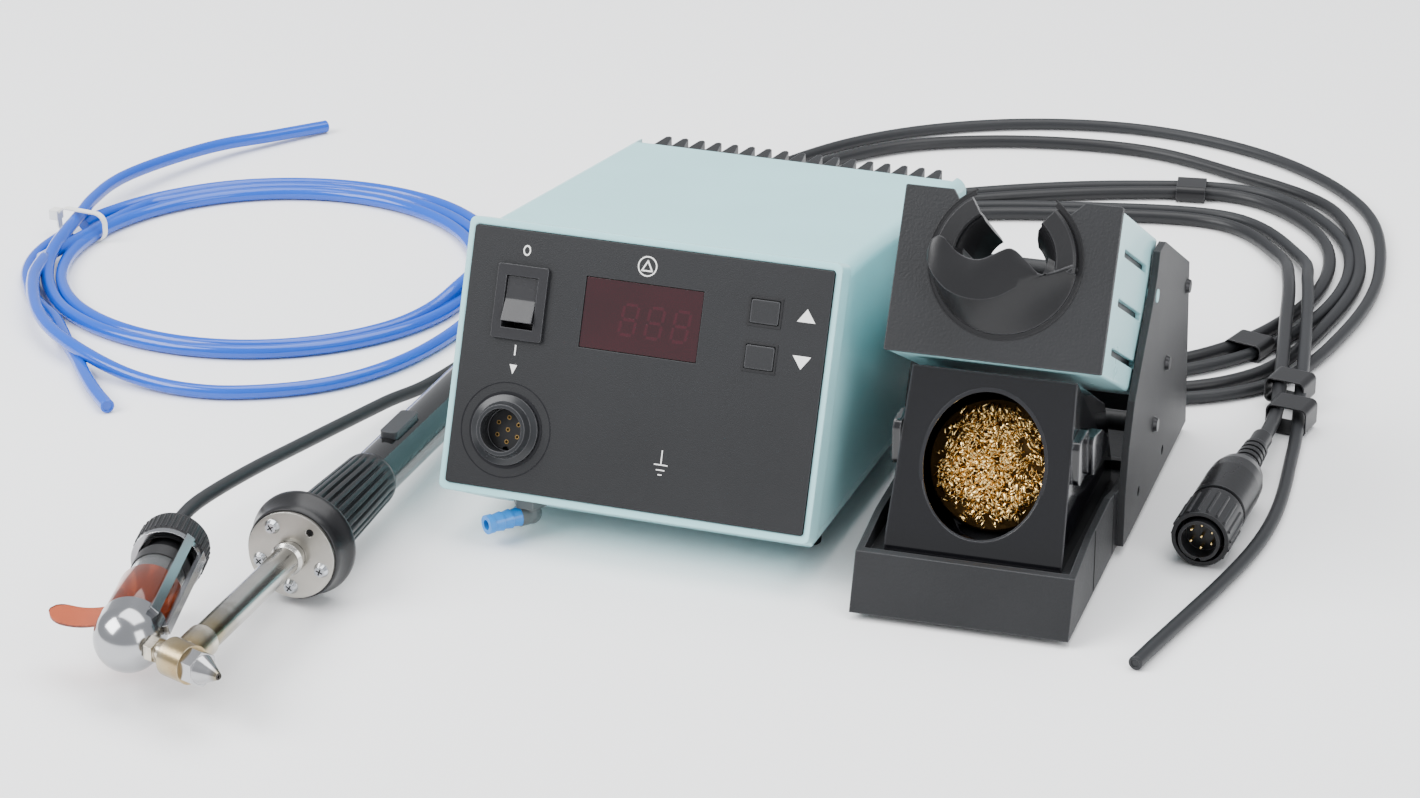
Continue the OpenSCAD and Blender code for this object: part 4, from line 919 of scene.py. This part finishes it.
# Solder collector: a chromed dome joins it to the head, and a glass tube catches the solder. A
# two-rail chromed bridge holds a knurled cap against the glass, and the vacuum hose leaves it.
collector_seat = nozzle_seat @ place(-31, 0, 0) @ turned(34, "Z") @ turned(5, "X")
along_collector = collector_seat @ turned(-90, "X")
chrome = skinned("chrome", (0.38, 0.385, 0.4), 0.16, mottle=0.06, grain=500, depth=0.01,
    spread=0.06, metallic=1, edge=0.4, wear=0.2, rub=(0.7, 0.7, 0.7))
shown_in(chrome, "collector_dome", "collector_bridge")


def clear(name, colour, rough, through=0.96, ior=1.5):
    material = bpy.data.materials.new(name)
    material.use_nodes = True
    tree, link = material.node_tree.nodes, material.node_tree.links.new
    shader = tree["Principled BSDF"]
    smear = tree.new("ShaderNodeTexNoise")
    smear.inputs["Scale"].default_value = 90
    smear.inputs["Detail"].default_value = 5
    at = tree.new("ShaderNodeTexCoord")
    link(at.outputs["Object"], smear.inputs["Vector"])
    blur = tree.new("ShaderNodeMapRange")
    blur.inputs["To Min"].default_value = rough
    blur.inputs["To Max"].default_value = rough + 0.12
    blur.inputs["From Min"].default_value = 0.45
    blur.inputs["From Max"].default_value = 0.8
    link(smear.outputs["Fac"], blur.inputs["Value"])
    link(blur.outputs["Result"], shader.inputs["Roughness"])
    tint = tree.new("ShaderNodeMix")
    tint.data_type = "RGBA"
    tint.inputs[6].default_value = (*colour, 1)
    tint.inputs[7].default_value = (*[0.8 * c for c in colour], 1)
    link(smear.outputs["Fac"], tint.inputs[0])
    link(tint.outputs[2], shader.inputs["Base Color"])
    shader.inputs["Transmission Weight"].default_value = through
    shader.inputs["IOR"].default_value = ior
    return material


shown_in(clear("collector glass", (0.9, 0.94, 0.95), 0.02), "collector_glass")
amber = clear("amber film", (0.5, 0.1, 0.035), 0.08, 0.86)
film = bmesh.new()
for_sleeve = [(12.1, 8.2), (13.1, 8.2), (13.35, 9), (13.35, 35.2), (13.1, 36), (12.1, 36)]
rows = []
for k in range(65):
    a = 2 * math.pi * k / 64
    rows.append([(r * math.cos(a), r * math.sin(a), z) for r, z in for_sleeve])
loft(film, rows, along_collector)
tab_rows = []
for k in range(17):
    t = k / 16
    out = 12.2 + 24.5 * t
    half = 7.2 if t < 0.72 else 7.2 * math.sqrt(max(0.02, 1 - ((t - 0.72) / 0.28) ** 2))
    rise = 2.2 * math.sin(math.pi * t)
    middle = 16 + 1.2 * t
    tab_rows.append([(-out, rise - 0.5, middle - half), (-out, rise + 0.5, middle - half),
        (-out, rise + 0.5, middle + half), (-out, rise - 0.5, middle + half)])
made = loft(film, tab_rows, along_collector)
film.faces.new(made[-1][::-1])
film.faces.new(made[0])
bmesh.ops.remove_doubles(film, verts=film.verts, dist=1e-4)
bmesh.ops.recalc_face_normals(film, faces=film.faces)
finished("amber_sleeve_tab", film, "desoldering_iron", amber, ["heat_sleeve"])
cap_skin = skinned("cap moulding", (0.01, 0.01, 0.011), 0.34, mottle=0.2, grain=700, depth=0.1,
    edge=0.4, wear=0.45, rub=(0.14, 0.14, 0.15))
shown_in(cap_skin, "collector_cap")
lathe("glass_seal", [(9.4, 47), (11.9, 47), (11.9, 54.3), (9.4, 54.3)], along_collector,
    "desoldering_iron", skinned("seal rubber", (0.015, 0.015, 0.016), 0.5, edge=0.3))


# Clips and plug: moulded clips pair the cable with the hose. The plug has a knurled ring, gold
# pins and a ribbed boot.
shown_in(skinned("clip plastic", (0.01, 0.01, 0.011), 0.32, edge=0.6, wear=0.5,
    rub=(0.14, 0.14, 0.15)), "hose_clips")
plug_seat = Matrix.Translation(bench) @ place(232, 72, 13.2) @ turned(math.degrees(math.atan2(-2, 114)),
    "Z")
plug_skin = skinned("plug moulding", (0.009, 0.009, 0.01), 0.28, mottle=0.2, grain=600, depth=0.08,
    edge=0.5, wear=0.4, rub=(0.14, 0.14, 0.15))
shown_in(plug_skin, "plug_body", "plug_ring")
gold = skinned("pin gold", (0.95, 0.68, 0.28), 0.16, metallic=1, edge=0.1, wear=0)
pins = bmesh.new()
for k in range(7):
    a = math.radians(60 * k + 30)
    x, z = (0, 0) if k == 6 else (5.2 * math.cos(a), -5.2 * math.sin(a))
    rows = [[(x + r * math.cos(b * math.pi / 8), y, z + r * math.sin(b * math.pi / 8))
        for b in range(16)] for r, y in ((0.7, 9), (0.7, 4.8), (0.62, 4.4), (0.35, 4.15))]
    made = loft(pins, rows, plug_seat)
    pins.faces.new(made[-1])
bmesh.ops.recalc_face_normals(pins, faces=pins.faces)
finished("plug_pins", pins, "desoldering_iron", gold)
